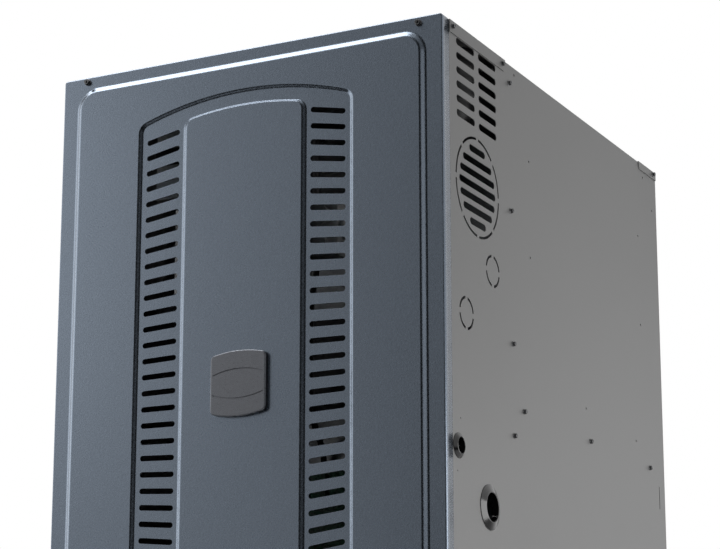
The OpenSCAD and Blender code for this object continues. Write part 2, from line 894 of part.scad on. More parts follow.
orifice_r = 6;
glass_r = 10;
glass_lap = 2;
glass_t = 3;
glass_up = 30;
glass_z = burner_z + glass_up;
switch_d = 14;
rollout_r = 9;
rollout_x = 120;
rollout_up = 33;
rollout_z = burner_z + rollout_up;
cover_in = 14;
cover_lip = 6;
module burner_box_cover() {
    color(galvanised) difference() {
        union() {
            slab([-box_w / 2, box_w / 2], [box_d0 - sheet, box_d0], box_z);
            slab([-box_w / 2 + 2 * sheet, box_w / 2 - 2 * sheet], [box_d0 - sheet, box_d0 + cover_lip],
                [box_z[1] - 2 * sheet - seat, box_z[1] - sheet - seat]);
            slab([-box_w / 2 + 2 * sheet, box_w / 2 - 2 * sheet], [box_d0 - sheet, box_d0 + cover_lip],
                [box_z[0] + sheet + seat, box_z[0] + 2 * sheet + seat]);
        }
        for (k = [0:burner_count - 1])
            rod_y([burner_x(k), y_at(box_d0 - cover_in), burner_z], orifice_r + seat,
                2 * cover_in);
        rod_y([0, y_at(box_d0 - cover_in), glass_z], glass_r - glass_lap, 2 * cover_in);
    }
}

module sight_glass() {
    color([0.6, 0.75, 0.8, 0.5])
        rod_y([0, y_at(box_d0 - sheet - glass_t), glass_z], glass_r, glass_t);
}

throat_r = 9;
burner_r = 13;
flare_r = 17;
burner_l = 92;
burner_wall = 1;
// Ends of the mouth, the widening throat and the straight part, as shares of the length
burner_shares = [0.2, 0.54, 0.83];
burner_set = 8;
burner_d0 = box_d0 + burner_set;
strip_set = 40;
strip_d = box_d0 + strip_set;
strip_h = 30;
// The inside of a burner, or its outside when grown by the wall
function burner_line(grow) = [[burner_r + grow, 0], [throat_r + grow, burner_shares[0] * burner_l],
    [burner_r + grow, burner_shares[1] * burner_l], [burner_r + grow, burner_shares[2] * burner_l],
    [flare_r + grow, burner_l]];

module burner() {
    inside = burner_line(0);
    rotate([-90, 0, 0]) rotate_extrude()
        polygon(concat(burner_line(burner_wall), [for (k = [len(inside) - 1:-1:0]) inside[k]]));
}

module burners() {
    color(steel) {
        difference() {
            slab([-box_w / 2 + sheet + seat, box_w / 2 - sheet - seat],
                [strip_d, strip_d + sheet],
                [burner_z - strip_h / 2, burner_z + strip_h / 2]);
            for (k = [0:burner_count - 1])
                rod_y([burner_x(k), y_at(strip_d - over), burner_z], throat_r, sheet + 2 * over);
        }
        for (k = [0:burner_count - 1])
            translate([burner_x(k), y_at(burner_d0), burner_z]) burner();
    }
}

manifold_r = 10.65;
manifold_out = 22;
manifold_past = 22;
manifold_d = box_d0 - manifold_out;
orifice_l = 14;
riser_x = 65;
riser_l = 90;
valve_top = burner_z - riser_l;
module gas_manifold() {
    half = (burner_count - 1) / 2 * burner_pitch + manifold_past;
    color(steel) {
        rod_x([-half, y_at(manifold_d), burner_z], manifold_r, 2 * half);
        rod_z([riser_x, y_at(manifold_d), valve_top], manifold_r, burner_z - valve_top);
    }
    color("goldenrod") for (k = [0:burner_count - 1])
        rod_y([burner_x(k), y_at(manifold_d), burner_z], orifice_r,
            manifold_r + orifice_l);
}

valve_w = 92;
valve_h = 74;
valve_dep = 58;
valve_set = 22;
valve_d0 = manifold_d - valve_set;
knob_r = 13;
knob_l = 9;
knob_base = 3;
grip_half = 3;
knob_set = 24;
knob_drop = 26;
knob_x = riser_x - knob_set;
knob_z = valve_top - knob_drop;
stem_r = 4;
stem_l = 14;
inlet_r = 10.7;
inlet_l = 18;
inlet_wall = 5;
inlet_boss = 6;
regulator_x = riser_x + knob_set;
regulator_r = 14;
regulator_l = 12;
plug_drop = 56;
plug_r = 9;
plug_l = 7;
module gas_valve() {
    x0 = riser_x - valve_w / 2;
    color("silver") difference() {
        union() {
            slab([x0, x0 + valve_w], [valve_d0, valve_d0 + valve_dep],
                [valve_top - valve_h, valve_top]);
            rod_y([regulator_x, y_at(valve_d0 - regulator_l), knob_z], regulator_r,
                regulator_l);
            rod_y([regulator_x, y_at(valve_d0 - plug_l), valve_top - plug_drop], plug_r,
                plug_l);
            rod_x([x0 + valve_w, y_at(manifold_d), valve_top - valve_h / 2],
                inlet_r + inlet_wall, inlet_boss);
        }
        rod_x([x0 + valve_w - inlet_l, y_at(manifold_d), valve_top - valve_h / 2], inlet_r,
            inlet_l + inlet_boss + over);
        rod_y([knob_x, y_at(valve_d0 - over), knob_z], stem_r + run_gap, stem_l + over);
    }
}

module gas_valve_knob() {
    base_d = valve_d0 - seat - knob_base;
    color("firebrick") {
        difference() {
            rod_y([knob_x, y_at(valve_d0 - seat - knob_l), knob_z], knob_r, knob_l);
            for (side = [-1, 1])
                slab(side > 0 ? [knob_x + grip_half, knob_x + knob_r + over]
                        : [knob_x - knob_r - over, knob_x - grip_half],
                    [base_d - knob_l, base_d], [knob_z - knob_r - over, knob_z + knob_r + over]);
        }
        rod_y([knob_x, y_at(valve_d0 - seat - over), knob_z], stem_r, stem_l);
    }
}

ceramic = [14, 10, 24];
probe_under = 3;
module probe(x, tip_r) {
    color([0.9, 0.88, 0.82])
        slab([x - ceramic[0] / 2, x + ceramic[0] / 2],
            [probe_d - ceramic[1] / 2, probe_d + ceramic[1] / 2],
            [box_z[0] - seat - ceramic[2], box_z[0] - seat]);
    color(steel) rod_z([x, y_at(probe_d), box_z[0] - seat - over], tip_r,
        burner_z - probe_under - box_z[0]);
}

module igniter() {
    probe(burner_x(0), igniter_r);
}

module flame_sensor() {
    probe(burner_x(burner_count - 1), sensor_r);
}

rollout_ear = 14;
rollout_ear_t = 1.5;
rollout_ear_h = 10;
reset_deep = 9;
reset_in = 5;

module rollout_switches() {
    d1 = box_d0 - sheet;
    color(black) both_sides() difference() {
        union() {
            rod_y([rollout_x, y_at(d1 - switch_d), rollout_z], rollout_r, switch_d);
            slab([rollout_x - rollout_ear, rollout_x + rollout_ear], [d1 - rollout_ear_t, d1],
                [rollout_z - rollout_ear_h / 2, rollout_z + rollout_ear_h / 2]);
        }
        rod_y([rollout_x, y_at(d1 - switch_d - over), rollout_z], reset_r + run_gap,
            reset_deep + over);
    }
}

module reset_button(side) {
    d1 = box_d0 - sheet - switch_d;
    color("firebrick")
        rod_y([side * rollout_x, y_at(d1 - reset_out), rollout_z], reset_r,
            reset_out + reset_in);
}

module left_reset_button() {
    reset_button(-1);
}

module right_reset_button() {
    reset_button(1);
}

limit_out = 9;
limit_reach = 34;
module limit_switch() {
    color(black) rod_y([limit_x, y_at(vest_d - limit_out), limit_z], limit_r, limit_out);
    color(silver) rod_y([limit_x, y_at(vest_d), limit_z], limit_r - limit_lap - seat,
        limit_reach);
}

// Heat exchanger

header_gap = 6;
header_t = 58;
header_up = 16;
header_past = 11;
pass_z = [burner_z, burner_z - 2 * bend_r, burner_z - 4 * bend_r];
header_d = [rear_bend_d + header_gap, rear_bend_d + header_gap + header_t];
header_z = [deck_z + header_up, pass_z[2] + tube_r + header_past];
module straight(r, d0, d1, z) {
    translate([0, y_at(d0), z]) rotate([-90, 0, 0]) cylinder(r = r, h = d1 - d0);
}

// A half turn in the plane of depth and height; way is 1 for a bend that reaches back
module half_turn(r, d, z, way) {
    translate([0, y_at(d), z]) rotate([90, 0, 90]) rotate(-90 * way)
        rotate_extrude(angle = 180) translate([bend_r, 0]) circle(r);
}

module tube_path(r, past) {
    straight(r, vest_d - port_gap - past, rear_bend_d, pass_z[0]);
    straight(r, front_bend_d, rear_bend_d, pass_z[1]);
    straight(r, front_bend_d, header_d[0] - port_gap + past, pass_z[2]);
    half_turn(r, rear_bend_d, pass_z[0] - bend_r, 1);
    half_turn(r, front_bend_d, pass_z[1] - bend_r, -1);
}

module primary_tube() {
    difference() {
        tube_path(tube_r, 0);
        tube_path(tube_r - tube_wall, over);
    }
}

module primary_tubes() {
    color(silver) for (k = [0:burner_count - 1])
        translate([burner_x(k), 0, 0]) primary_tube();
}

header_w = 380;
module hot_header() {
    color(steel) difference() {
        slab([-header_w / 2, header_w / 2], header_d, header_z);
        slab([-header_w / 2 + sheet, header_w / 2 - sheet],
            [header_d[0] + sheet, header_d[1] - sheet], [header_z[0] + sheet, header_z[1] - sheet]);
        for (k = [0:burner_count - 1])
            rod_y([burner_x(k), y_at(header_d[0] - over), pass_z[2]], tube_r - tube_wall,
                sheet + 2 * over);
    }
}

fin_count = 26;
fin_t = 0.8;
fin_front = 50;
fin_back = 40;
fin_set = 4;
coil_d = [vest_d + sheet + seat, header_d[0] - port_gap];
coil_z = [window[0] + fin_set, window[1] - fin_set];
coil_rows = 2;
coil_cols = 6;
coil_tube = 7;
module secondary_coil() {
    fin_from = coil_d[0] + fin_front;
    fin_to = coil_d[1] - fin_back;
    color(silver) {
        for (k = [0:fin_count - 1])
            slab([-window_w / 2, window_w / 2],
                [fin_from + k * (fin_to - fin_from) / fin_count,
                fin_from + k * (fin_to - fin_from) / fin_count + fin_t], coil_z);
        for (side = [-1, 1])
            slab([side * window_w / 2 - sheet, side * window_w / 2 + sheet],
                [fin_from - sheet, fin_to], [deck_z + seat, coil_z[1]]);
        for (row = [0:coil_rows - 1], k = [0:coil_cols - 1])
            rod_y([(k - (coil_cols - 1) / 2) * window_w / coil_cols, y_at(vest_d - port_gap),
                coil_z[0] + (row + 0.5) * (coil_z[1] - coil_z[0]) / coil_rows], coil_tube,
                coil_d[1] - vest_d + port_gap);
    }
}

cold_w = 384;
cold_d = 34;
cold_wall = 3;
cold_rim = 4;
drain_in = 32;
drain_r = 7.5;
drain_l = 16;
spigot_wall = 2;
inducer_in = 30;
cold_x = [-inducer_x - inducer_in - cold_rim, cold_w - inducer_x - inducer_in - cold_rim];
drain_x = -cold_x[0] - drain_in;
tap_r = 2.4;
tap_x = 60;
tap_l = 12;
cold_lap = 12;
cold_z = [window[0] - cold_lap, window[1] + cold_lap];
module cold_header() {
    z0 = cold_z[0];
    z1 = cold_z[1];
    color(black) difference() {
        union() {
            slab(cold_x, [vest_d - cold_d, vest_d - port_gap], [z0, z1]);
            rod_z([-drain_x, y_at(vest_d - cold_d / 2), z0 - drain_l], drain_r,
                drain_l + cold_wall);
            rod_z([-tap_x, y_at(vest_d - cold_d / 2), z1 - cold_wall], tap_r,
                tap_l + cold_wall);
        }
        slab([cold_x[0] + cold_wall, cold_x[1] - cold_wall],
            [vest_d - cold_d + cold_wall, vest_d + over], [z0 + cold_wall, z1 - cold_wall]);
        rod_z([-drain_x, y_at(vest_d - cold_d / 2), z0 - drain_l - over], drain_r - spigot_wall,
            drain_l + cold_wall + 2 * over);
        rod_y([-inducer_x, y_at(vest_d - cold_d - over), inducer_z], inducer_in,
            cold_wall + 2 * over);
    }
}

// Inducer

ind_d1 = vest_d - cold_d - port_gap;
ind_d0 = ind_d1 - inducer_depth;
ind_wall = 2.5;
ind_shaft = 4;
ind_gap = 10;
ind_motor_l = 58;
ind_wheel_w = 26;
ind_wheel_set = 8;
ind_hub = 9;
ind_hub_l = 22;
ind_shaft_in = 20;
ind_shaft_room = 2;
ind_blades = 12;
module inducer_outline(inset) {
    circle(inducer_r - inset);
    translate([inducer_x - pipe_x - outlet_w / 2 + inset, 0])
        square([outlet_w - 2 * inset, neck_z - inducer_z - cold_wall - inset]);
}

module inducer_housing() {
    color(black) difference() {
        union() {
            translate([-inducer_x, y_at(ind_d1), inducer_z]) rotate([90, 0, 0])
                linear_extrude(inducer_depth) inducer_outline(0);
            rod_z([-pipe_x, y_at(pipe_d), neck_z - cold_wall - neck_l / 2], pipe_r,
                neck_l / 2 + cold_wall);
        }
        translate([-inducer_x, y_at(ind_d1 - ind_wall), inducer_z]) rotate([90, 0, 0])
            linear_extrude(inducer_depth - 2 * ind_wall) inducer_outline(ind_wall);
        rod_y([-inducer_x, y_at(ind_d1 - ind_wall - over), inducer_z], inducer_in,
            ind_wall + 2 * over);
        rod_y([-inducer_x, y_at(ind_d0 - over), inducer_z], ind_shaft + ind_shaft_room,
            ind_wall + 2 * over);
        rod_z([-pipe_x, y_at(pipe_d), neck_z - neck_l], pipe_r - pipe_wall,
            neck_l + over);
    }
}

module blades(count, r, depth, thick, height) {
    for (k = [0:count - 1])
        rotate(k * 360 / count) translate([r - depth, -thick / 2, 0])
            cube([depth, thick, height]);
}

module inducer_wheel() {
    color(galvanised)
        translate([-inducer_x, y_at(ind_d0 + ind_wall + ind_wheel_set), inducer_z])
            rotate([-90, 0, 0])
            difference() {
                union() {
                    cylinder(r = inducer_wheel_r, h = sheet);
                    cylinder(r = ind_hub, h = ind_hub_l);
                    blades(ind_blades, inducer_wheel_r - sheet, inducer_wheel_r / 2, sheet, ind_wheel_w);
                    translate([0, 0, ind_wheel_w - sheet]) difference() {
                        cylinder(r = inducer_wheel_r, h = sheet);
                        translate([0, 0, -over])
                            cylinder(r = inducer_wheel_r / 2, h = 3 * over);
                    }
                }
                translate([0, 0, -over]) cylinder(r = ind_shaft, h = ind_wheel_w + 2 * over);
            }
}

module inducer_shaft() {
    d0 = ind_d0 - ind_gap - ind_shaft_in;
    d1 = ind_d0 + ind_wall + ind_wheel_set + ind_hub_l;
    color(silver) rod_y([-inducer_x, y_at(d0), inducer_z], ind_shaft, d1 - d0);
}

ind_ear_w = 10;
ind_ear_l = 20;
ind_ear_lap = 8;
ind_ear_t = 4;
module inducer_motor() {
    d1 = ind_d0 - ind_gap;
    color([0.25, 0.25, 0.27]) difference() {
        union() {
            rod_y([-inducer_x, y_at(d1 - ind_motor_l), inducer_z], inducer_motor_r,
                ind_motor_l);
            for (k = [0:2])
                translate([-inducer_x, y_at(d1 - ind_ear_t), inducer_z]) rotate([-90, 0, 0])
                    rotate(30 + k * 120)
                        translate([inducer_motor_r - ind_ear_lap, -ind_ear_w / 2, 0])
                            cube([ind_ear_l, ind_ear_w, ind_gap + ind_ear_t]);
        }
        rod_y([-inducer_x, y_at(d1 - ind_shaft_in - ind_ear_t), inducer_z],
            ind_shaft + run_gap, ind_shaft_in + ind_ear_t + over);
    }
}

// Pressure switch, trap and hoses

ps_r = 36;
ps_t = 24;
ps_drop = 105;
ps_z = burner_z - ps_drop;
ps_spigot = 14;
ps_spigot_in = 4;
ps_crown_r = 22;
ps_crown_t = 6;
module pressure_switch() {
    d = vest_d - cold_d / 2;
    color([0.3, 0.3, 0.32]) {
        rod_y([-tap_x, y_at(vest_d - ps_t), ps_z], ps_r, ps_t);
        rod_y([-tap_x, y_at(vest_d - ps_t - ps_crown_t), ps_z], ps_crown_r, ps_crown_t);
        rod_z([-tap_x, y_at(d), ps_z - ps_r - ps_spigot], tap_r, ps_spigot + ps_spigot_in);
    }
}

hose_wall = 1.8;
hose_gap = 0.1;
module hose(at, bore, wall, length) {
    translate(at) difference() {
        cylinder(r = bore + wall, h = length);
        translate([0, 0, -over]) cylinder(r = bore, h = length + 2 * over);
    }
}

module pressure_tube() {
    z0 = cold_z[1] + seat;
    color("firebrick")
        hose([-tap_x, y_at(vest_d - cold_d / 2), z0], tap_r + hose_gap, hose_wall,
            ps_z - ps_r - z0 - seat);
}

trap = [86, 84, 84];
trap_past = 22;
trap_x0 = -drain_x + trap_past - trap[0];
trap_gap = 5;
trap_d0 = vest_d - sheet - trap_gap - trap[1];
trap_out_z = z_at(large_drop);
trap_out_up = 46.5;
trap_z = trap_out_z - trap_out_up;
trap_out_r = 12;
trap_out_l = 14;
trap_bore = 9;
trap_bore_l = 26;
trap_ear_in = 10;
trap_ear_t = 6;
trap_ear_drop = 14;
trap_in_l = 20;
module condensate_trap() {
    d = vest_d - cold_d / 2;
    top = trap_z + trap[2];
    color(black) difference() {
        union() {
            slab([trap_x0, trap_x0 + trap[0]], [trap_d0, trap_d0 + trap[1]], [trap_z, top]);
            slab([trap_x0 + trap_ear_in, trap_x0 + trap[0] - trap_ear_in],
                [trap_d0, vest_d - seat / 2],
                [top - trap_ear_drop, top - trap_ear_drop + trap_ear_t]);
            rod_z([-drain_x, y_at(d), top - over], drain_r, drain_l);
            rod_x([trap_x0 - trap_out_l, y_at(large_d), trap_out_z], trap_out_r,
                trap_out_l + over);
        }
        rod_z([-drain_x, y_at(d), top - trap_in_l], drain_r - spigot_wall,
            trap_in_l + drain_l);
        rod_x([trap_x0 - trap_out_l - over, y_at(large_d), trap_out_z], trap_bore,
            trap_bore_l);
    }
}

module drain_hose() {
    z0 = trap_z + trap[2] + seat;
    color([0.15, 0.15, 0.15])
        hose([-drain_x, y_at(vest_d - cold_d / 2), z0], drain_r + hose_gap, 2 * hose_wall,
            cold_z[0] - seat - z0);
}

// Blower

axis_z = deck_z - blower_drop;
module scroll(inset) {
    g = scroll_grow;
    intersection() {
        circle(scroll_r - inset, $fn = arc_fn);
        translate([-scroll_r, 0]) square([scroll_r + g, scroll_r]);
    }
    intersection() {
        translate([g, 0]) circle(scroll_r + g - inset, $fn = arc_fn);
        translate([-scroll_r, -scroll_r - g]) square([scroll_r + g, scroll_r + g]);
    }
    intersection() {
        translate([g, g]) circle(scroll_r + 2 * g - inset, $fn = arc_fn);
        translate([g, -scroll_r - g]) square([scroll_r + 2 * g, scroll_r + 2 * g]);
    }
    translate([outlet_d0 + inset, 0])
        square([scroll_back - outlet_d0 - 2 * inset, blower_drop - sheet - seat]);
}

module on_scroll(x) {
    translate([x, y_at(blower_d), axis_z]) rotate([90, 0, 90]) children();
}

inlet_r_share = 0.85;
outlet_flange = 20;
module blower_housing() {
    top = blower_drop - sheet - seat;
    color(galvanised) {
        difference() {
            on_scroll(-scroll_w / 2) linear_extrude(scroll_w) scroll(0);
            on_scroll(-scroll_w / 2 + sheet) linear_extrude(scroll_w - 2 * sheet)
                scroll(sheet);
            slab([-scroll_w / 2 + sheet, scroll_w / 2 - sheet],
                [blower_d + outlet_d0 + sheet, blower_d + scroll_back - sheet],
                [axis_z + wheel_r, deck_z]);
            rod_x([-scroll_w, y_at(blower_d), axis_z], wheel_r * inlet_r_share,
                2 * scroll_w);
        }
        both_sides()
            slab([scroll_w / 2 - sheet / 2, scroll_w / 2 + outlet_flange],
                [blower_d + outlet_d0, blower_d + scroll_back],
                [axis_z + top - sheet, axis_z + top]);
    }
}

shaft_r = 6.35;
hub_r = 20;
hub_l = 22;
rim = 6;
rim_wall = 4;
blade_depth = 20;
wheel_fn = 96;
module blower_wheel() {
    color(galvanised) on_scroll(-wheel_w / 2) difference() {
        union() {
            for (z = [0, wheel_w - rim])
                translate([0, 0, z]) difference() {
                    cylinder(r = wheel_r, h = rim, $fn = wheel_fn);
                    translate([0, 0, -over])
                        cylinder(r = wheel_r - rim_wall, h = rim + 2 * over, $fn = wheel_fn);
                }
            translate([0, 0, wheel_w / 2])
                cylinder(r = wheel_r - sheet, h = sheet, $fn = wheel_fn);
            translate([0, 0, wheel_w / 2 - hub_l / 2]) cylinder(r = hub_r, h = hub_l);
            for (k = [0:wheel_blades - 1])
                rotate(k * 360 / wheel_blades)
                    translate([wheel_r - blade_depth - sheet, 0, 0]) rotate([0, 0, 20])
                        cube([blade_depth, sheet, wheel_w]);
        }
        translate([0, 0, -over]) cylinder(r = shaft_r, h = wheel_w + 2 * over);
    }
}

motor_out = 50;
motor_x = -wheel_w / 2 - motor_out;
motor_end = motor_x + motor_l;
motor_shaft_in = 60;
shaft_past = 6;
motor_cap_l = 8;
motor_cap_set = 20;
nose_w = 8;
nose_l = 6;
module blower_shaft() {
    from = motor_end - motor_shaft_in;
    color(silver) rod_x([from, y_at(blower_d), axis_z], shaft_r,
        hub_l / 2 + shaft_past - from);
}

module blower_motor() {
    color([0.2, 0.2, 0.22]) difference() {
        union() {
            rod_x([motor_x, y_at(blower_d), axis_z], motor_r, motor_l);
            rod_x([motor_x - motor_cap_l, y_at(blower_d), axis_z], motor_r - motor_cap_set,
                motor_cap_l);
            rod_x([motor_end - over, y_at(blower_d), axis_z], shaft_r + nose_w,
                nose_l + over);
        }
        rod_x([motor_end - motor_shaft_in - over, y_at(blower_d), axis_z],
            shaft_r + run_gap, motor_shaft_in + nose_l + 2 * over);
    }
}

mount_t = 3;
mount_lap = 14;
sleeve_l = 14;
arm_w = 20;
mount_reach = wheel_r * inlet_r_share + mount_lap;
module motor_mount() {
    x0 = -scroll_w / 2 - mount_t;
    color(steel) {
        on_scroll(x0 - sleeve_l) linear_extrude(sleeve_l + mount_t) difference() {
            circle(motor_r + mount_t);
            circle(motor_r + run_gap);
        }
        on_scroll(x0) linear_extrude(mount_t) difference() {
            union() {
                circle(motor_r + mount_t);
                for (k = [0:2])
                    rotate(60 + k * 120) translate([motor_r - mount_t, -arm_w / 2])
                        square([mount_reach - motor_r + mount_t, arm_w]);
            }
            circle(motor_r + run_gap);
        }
    }
}

// Controls

board_x = 10;
board_w = 160;
board_h = 112;
board_up = 22;
board_t = 1.6;
stand_l = 10;
post_r = 3;
post_in = 8;
// Left edges of the relays, and left, right, bottom and top of each connector, as shares
relay_shares = [0.11, 0.27, 0.44, 0.6];
plug_row_shares = [[0.1, 0.48, 0.13, 0.23], [0.65, 0.91, 0.34, 0.45]];
relay_w = 20;
relay_h = 30;
relay_t = 16;
relay_drop = 14;
plug_row_t = 12;
module control_board() {
    d1 = vest_d - stand_l;
    x0 = board_x - board_w / 2;
    z0 = tray_low + board_up;
    color([0.1, 0.35, 0.2])
        slab([x0, x0 + board_w], [d1 - board_t, d1], [z0, z0 + board_h]);
    color("white")
        for (x = [x0 + post_in, x0 + board_w - post_in], z = [z0 + post_in, z0 + board_h - post_in])
            rod_y([x, y_at(d1 - board_t / 2), z], post_r, stand_l + board_t / 2 - seat / 3);
    color([0.15, 0.15, 0.16]) for (share = relay_shares)
        slab([x0 + share * board_w, x0 + share * board_w + relay_w],
            [d1 - board_t - relay_t, d1 - board_t / 2],
            [z0 + board_h - relay_drop - relay_h, z0 + board_h - relay_drop]);
    color("white") for (p = plug_row_shares)
        slab([x0 + p[0] * board_w, x0 + p[1] * board_w],
            [d1 - board_t - plug_row_t, d1 - board_t / 2],
            [z0 + p[2] * board_h, z0 + p[3] * board_h]);
}

tf_x = 140;
tf_w = 56;
tf_h = 56;
tf_up = 26;
tf_foot = 6;
tf_foot_t = 10;
tf_core_t = 24;
tf_coil_w = 32;
tf_coil_h = 32;
tf_coil_out = 14;
module transformer() {
    d1 = vest_d - seat / 3;
    z0 = tray_low + tf_up;
    mid = z0 + tf_h / 2;
    color([0.3, 0.3, 0.33]) {
        slab([tf_x - tf_w / 2, tf_x + tf_w / 2], [d1 - tf_foot_t - tf_core_t, d1 - tf_foot_t],
            [z0 + tf_foot, z0 + tf_h - tf_foot]);
        slab([tf_x - tf_w / 2 - tf_foot, tf_x + tf_w / 2 + tf_foot], [d1 - tf_foot_t, d1],
            [z0, z0 + tf_h]);
    }
    color("goldenrod") slab([tf_x - tf_coil_w / 2, tf_x + tf_coil_w / 2],
        [d1 - tf_foot_t - tf_core_t - tf_coil_out, d1 - tf_foot_t / 2],
        [mid - tf_coil_h / 2, mid + tf_coil_h / 2]);
}

cap_r = 22;
cap_len = 84;
cap_x = 212;
cap_up = 22;
strap_t = 3;
strap_ear = 8;
strap_w = 24;
module capacitor() {
    strap_d = vest_d - seat / 3 - strap_t;
    mid = tray_low + cap_up + cap_len / 2;
    color(silver) {
        rod_z([cap_x, y_at(strap_d + sheet - cap_r), tray_low + cap_up], cap_r, cap_len);
        slab([cap_x - cap_r - strap_ear, cap_x + cap_r + strap_ear],
            [strap_d, strap_d + strap_t], [mid - strap_w / 2, mid + strap_w / 2]);
    }
}

jb = [58, 66, 56];
jb_d0 = 104;
jb_up = 6;
jb_hole = 11.6;
jb_z = tray_z[1] + jb_up;
module junction_box() {
    color(galvanised) difference() {
        slab([fit_w - jb[0], fit_w], [jb_d0, jb_d0 + jb[1]], [jb_z, jb_z + jb[2]]);
        slab([fit_w - jb[0] + sheet, fit_w - sheet], [jb_d0 + sheet, jb_d0 + jb[1] - sheet],
            [jb_z + sheet, jb_z + jb[2] - sheet]);
        rod_z([fit_w - jb[0] / 2, y_at(jb_d0 + jb[1] / 2), jb_z - over], jb_hole,
            sheet + 2 * over);
    }
}

sw_l = 34;
sw_h = 40;
module door_switch() {
    x0 = half_w - flange_w + sheet + 2 * seat;
    color(black) difference() {
        slab([x0, fit_w - seat], [inner_d + seat / 3, inner_d + sw_l],
            [switch_z - sw_h / 2, switch_z + sw_h / 2]);
        rod_y([switch_x, y_at(inner_d - over), switch_z], plunger_r + run_gap,
            plunger_l + 2 * over);
    }
}

module switch_plunger() {
    color("white") rod_y([switch_x, y_at(lip_d + seat / 3), switch_z], plunger_r, plunger_l);
}

// Route of the wire loom: x, depth and height of each point
loom = [[10, 188, 374.5], [10, 187, 384], [10, 182, 396], [10, 172, 410], [10, 160, 424],
    [11, 150, 440], [13, 144, 460], [16, 138, 480], [20, 131, 500], [25, 122, 520],
    [31, 112, 538], [38, 101, 553], [46, 90, 566], [54, 79, 576], [60, 72, 583],
    [62, 70, 589], [62, 70, 595.5]];
loom_r = 4;
loom_sides = 8;

function route(k) = [loom[k][0], y_at(loom[k][1]), loom[k][2]];
function heading(k) = let (a = route(max(k - 1, 0)), b = route(min(k + 1, len(loom) - 1)))
    (b - a) / norm(b - a);
function loom_ring(k) = let (t = heading(k), u = cross(t, [1, 0, 0]) / norm(cross(t, [1, 0, 0])),
    v = cross(t, u)) [for (j = [0:loom_sides - 1]) let (a = j * 360 / loom_sides)
    route(k) + loom_r * (cos(a) * u + sin(a) * v)];

module wire_loom() {
    n = len(loom);
    s = loom_sides;
    points = [for (k = [0:n - 1]) each loom_ring(k)];
    walls = [for (k = [0:n - 2], j = [0:s - 1]) let (a = k * s + j, b = k * s + (j + 1) % s)
        each [[a, a + s, b + s], [a, b + s, b]]];
    start = [for (j = [1:s - 2]) [0, j, j + 1]];
    end = [for (j = [1:s - 2]) [(n - 1) * s, (n - 1) * s + j + 1, (n - 1) * s + j]];
    color(black) polyhedron(points, concat(walls, start, end));
}

left_side_panel();
right_side_panel();
back_panel();
top_cap();
rear_top_rail();
base_frame();
vestibule_panel();
control_tray();
blower_panel();
thumb_screws();
blower_deck();
side_liners();
back_liner();
casing_screws();
small_bushings();
large_bushings();
vent_collar();
intake_collar();
vent_pipe();
intake_pipe();
burner_box();
burner_box_cover();
sight_glass();
burners();
gas_manifold();
gas_valve();
gas_valve_knob();
igniter();
flame_sensor();
rollout_switches();
left_reset_button();
right_reset_button();
limit_switch();
primary_tubes();
hot_header();
secondary_coil();
cold_header();
inducer_housing();
inducer_wheel();
inducer_shaft();
inducer_motor();
pressure_switch();
pressure_tube();
condensate_trap();
drain_hose();
blower_housing();
blower_wheel();
blower_shaft();
blower_motor();
motor_mount();
control_board();
transformer();
capacitor();
junction_box();
door_switch();
switch_plunger();
wire_loom();
front_door();
badge();
door_screws();
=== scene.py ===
# %% [markdown]
# # A forced air gas furnace
# The furnace is a tall sheet steel cabinet with a pressed door. Its exact parts come from the
# CAD model. This file gives them their finishes, and models again the few parts whose bends
# the light shows best. All lengths are in metres, +Z is up and the door faces -Y.

import json
import math

import bmesh
import bpy
from mathutils import Matrix, Vector

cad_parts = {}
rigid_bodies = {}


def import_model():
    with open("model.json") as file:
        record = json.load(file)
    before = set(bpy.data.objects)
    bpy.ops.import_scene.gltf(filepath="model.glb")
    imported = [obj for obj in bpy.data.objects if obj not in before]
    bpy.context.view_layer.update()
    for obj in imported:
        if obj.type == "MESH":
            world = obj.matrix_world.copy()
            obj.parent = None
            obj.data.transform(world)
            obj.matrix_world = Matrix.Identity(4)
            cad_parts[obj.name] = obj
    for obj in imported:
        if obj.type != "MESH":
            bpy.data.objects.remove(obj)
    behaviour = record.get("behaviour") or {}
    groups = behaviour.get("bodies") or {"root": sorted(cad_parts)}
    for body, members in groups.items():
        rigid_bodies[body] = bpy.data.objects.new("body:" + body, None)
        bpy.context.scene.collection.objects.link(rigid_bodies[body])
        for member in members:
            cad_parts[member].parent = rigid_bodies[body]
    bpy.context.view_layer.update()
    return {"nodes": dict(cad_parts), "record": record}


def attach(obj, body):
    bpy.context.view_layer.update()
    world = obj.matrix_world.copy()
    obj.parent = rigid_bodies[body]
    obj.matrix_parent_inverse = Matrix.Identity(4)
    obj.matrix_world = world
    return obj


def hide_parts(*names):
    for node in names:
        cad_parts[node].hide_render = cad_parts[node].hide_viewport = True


for old in list(bpy.data.objects):
    bpy.data.objects.remove(old)
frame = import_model()
nodes = frame["nodes"]

# %% [markdown]
# ## The camera
# The photograph was taken from low down, to the right of the door, with a long lens. A camera
# could be turned by hand until the picture fits. Here the lens, its upward shift and the place
# were solved from the corners of the cabinet instead, because that is exact.

# %% Place the camera
YAW, PITCH = 0.4771, 0.2452
camera = bpy.data.objects.new("camera", bpy.data.cameras.new("camera"))
bpy.context.scene.collection.objects.link(camera)
camera.location = (1.3836, -2.7221, -0.1536)
camera.rotation_euler = (math.pi / 2 + PITCH, 0, YAW)
camera.data.lens = 118.35
camera.data.sensor_width = 36
camera.data.shift_y = 0.0493
camera.data.clip_end = 50
bpy.context.scene.camera = camera
print("camera", tuple(camera.location), "lens", camera.data.lens)

# %% [markdown]
# ## The studio
# A product photographer puts soft boxes round a satin cabinet and stands in the dark. The door
# mirrors that: white surroundings light its faces, and every bend that turns towards the
# camera or the floor draws a dark line. A picture of a studio could light the scene, but a
# few nodes do it too: the world is white to reflections, apart from a dark band in front and
# a dark ground, and dimmer as fill.


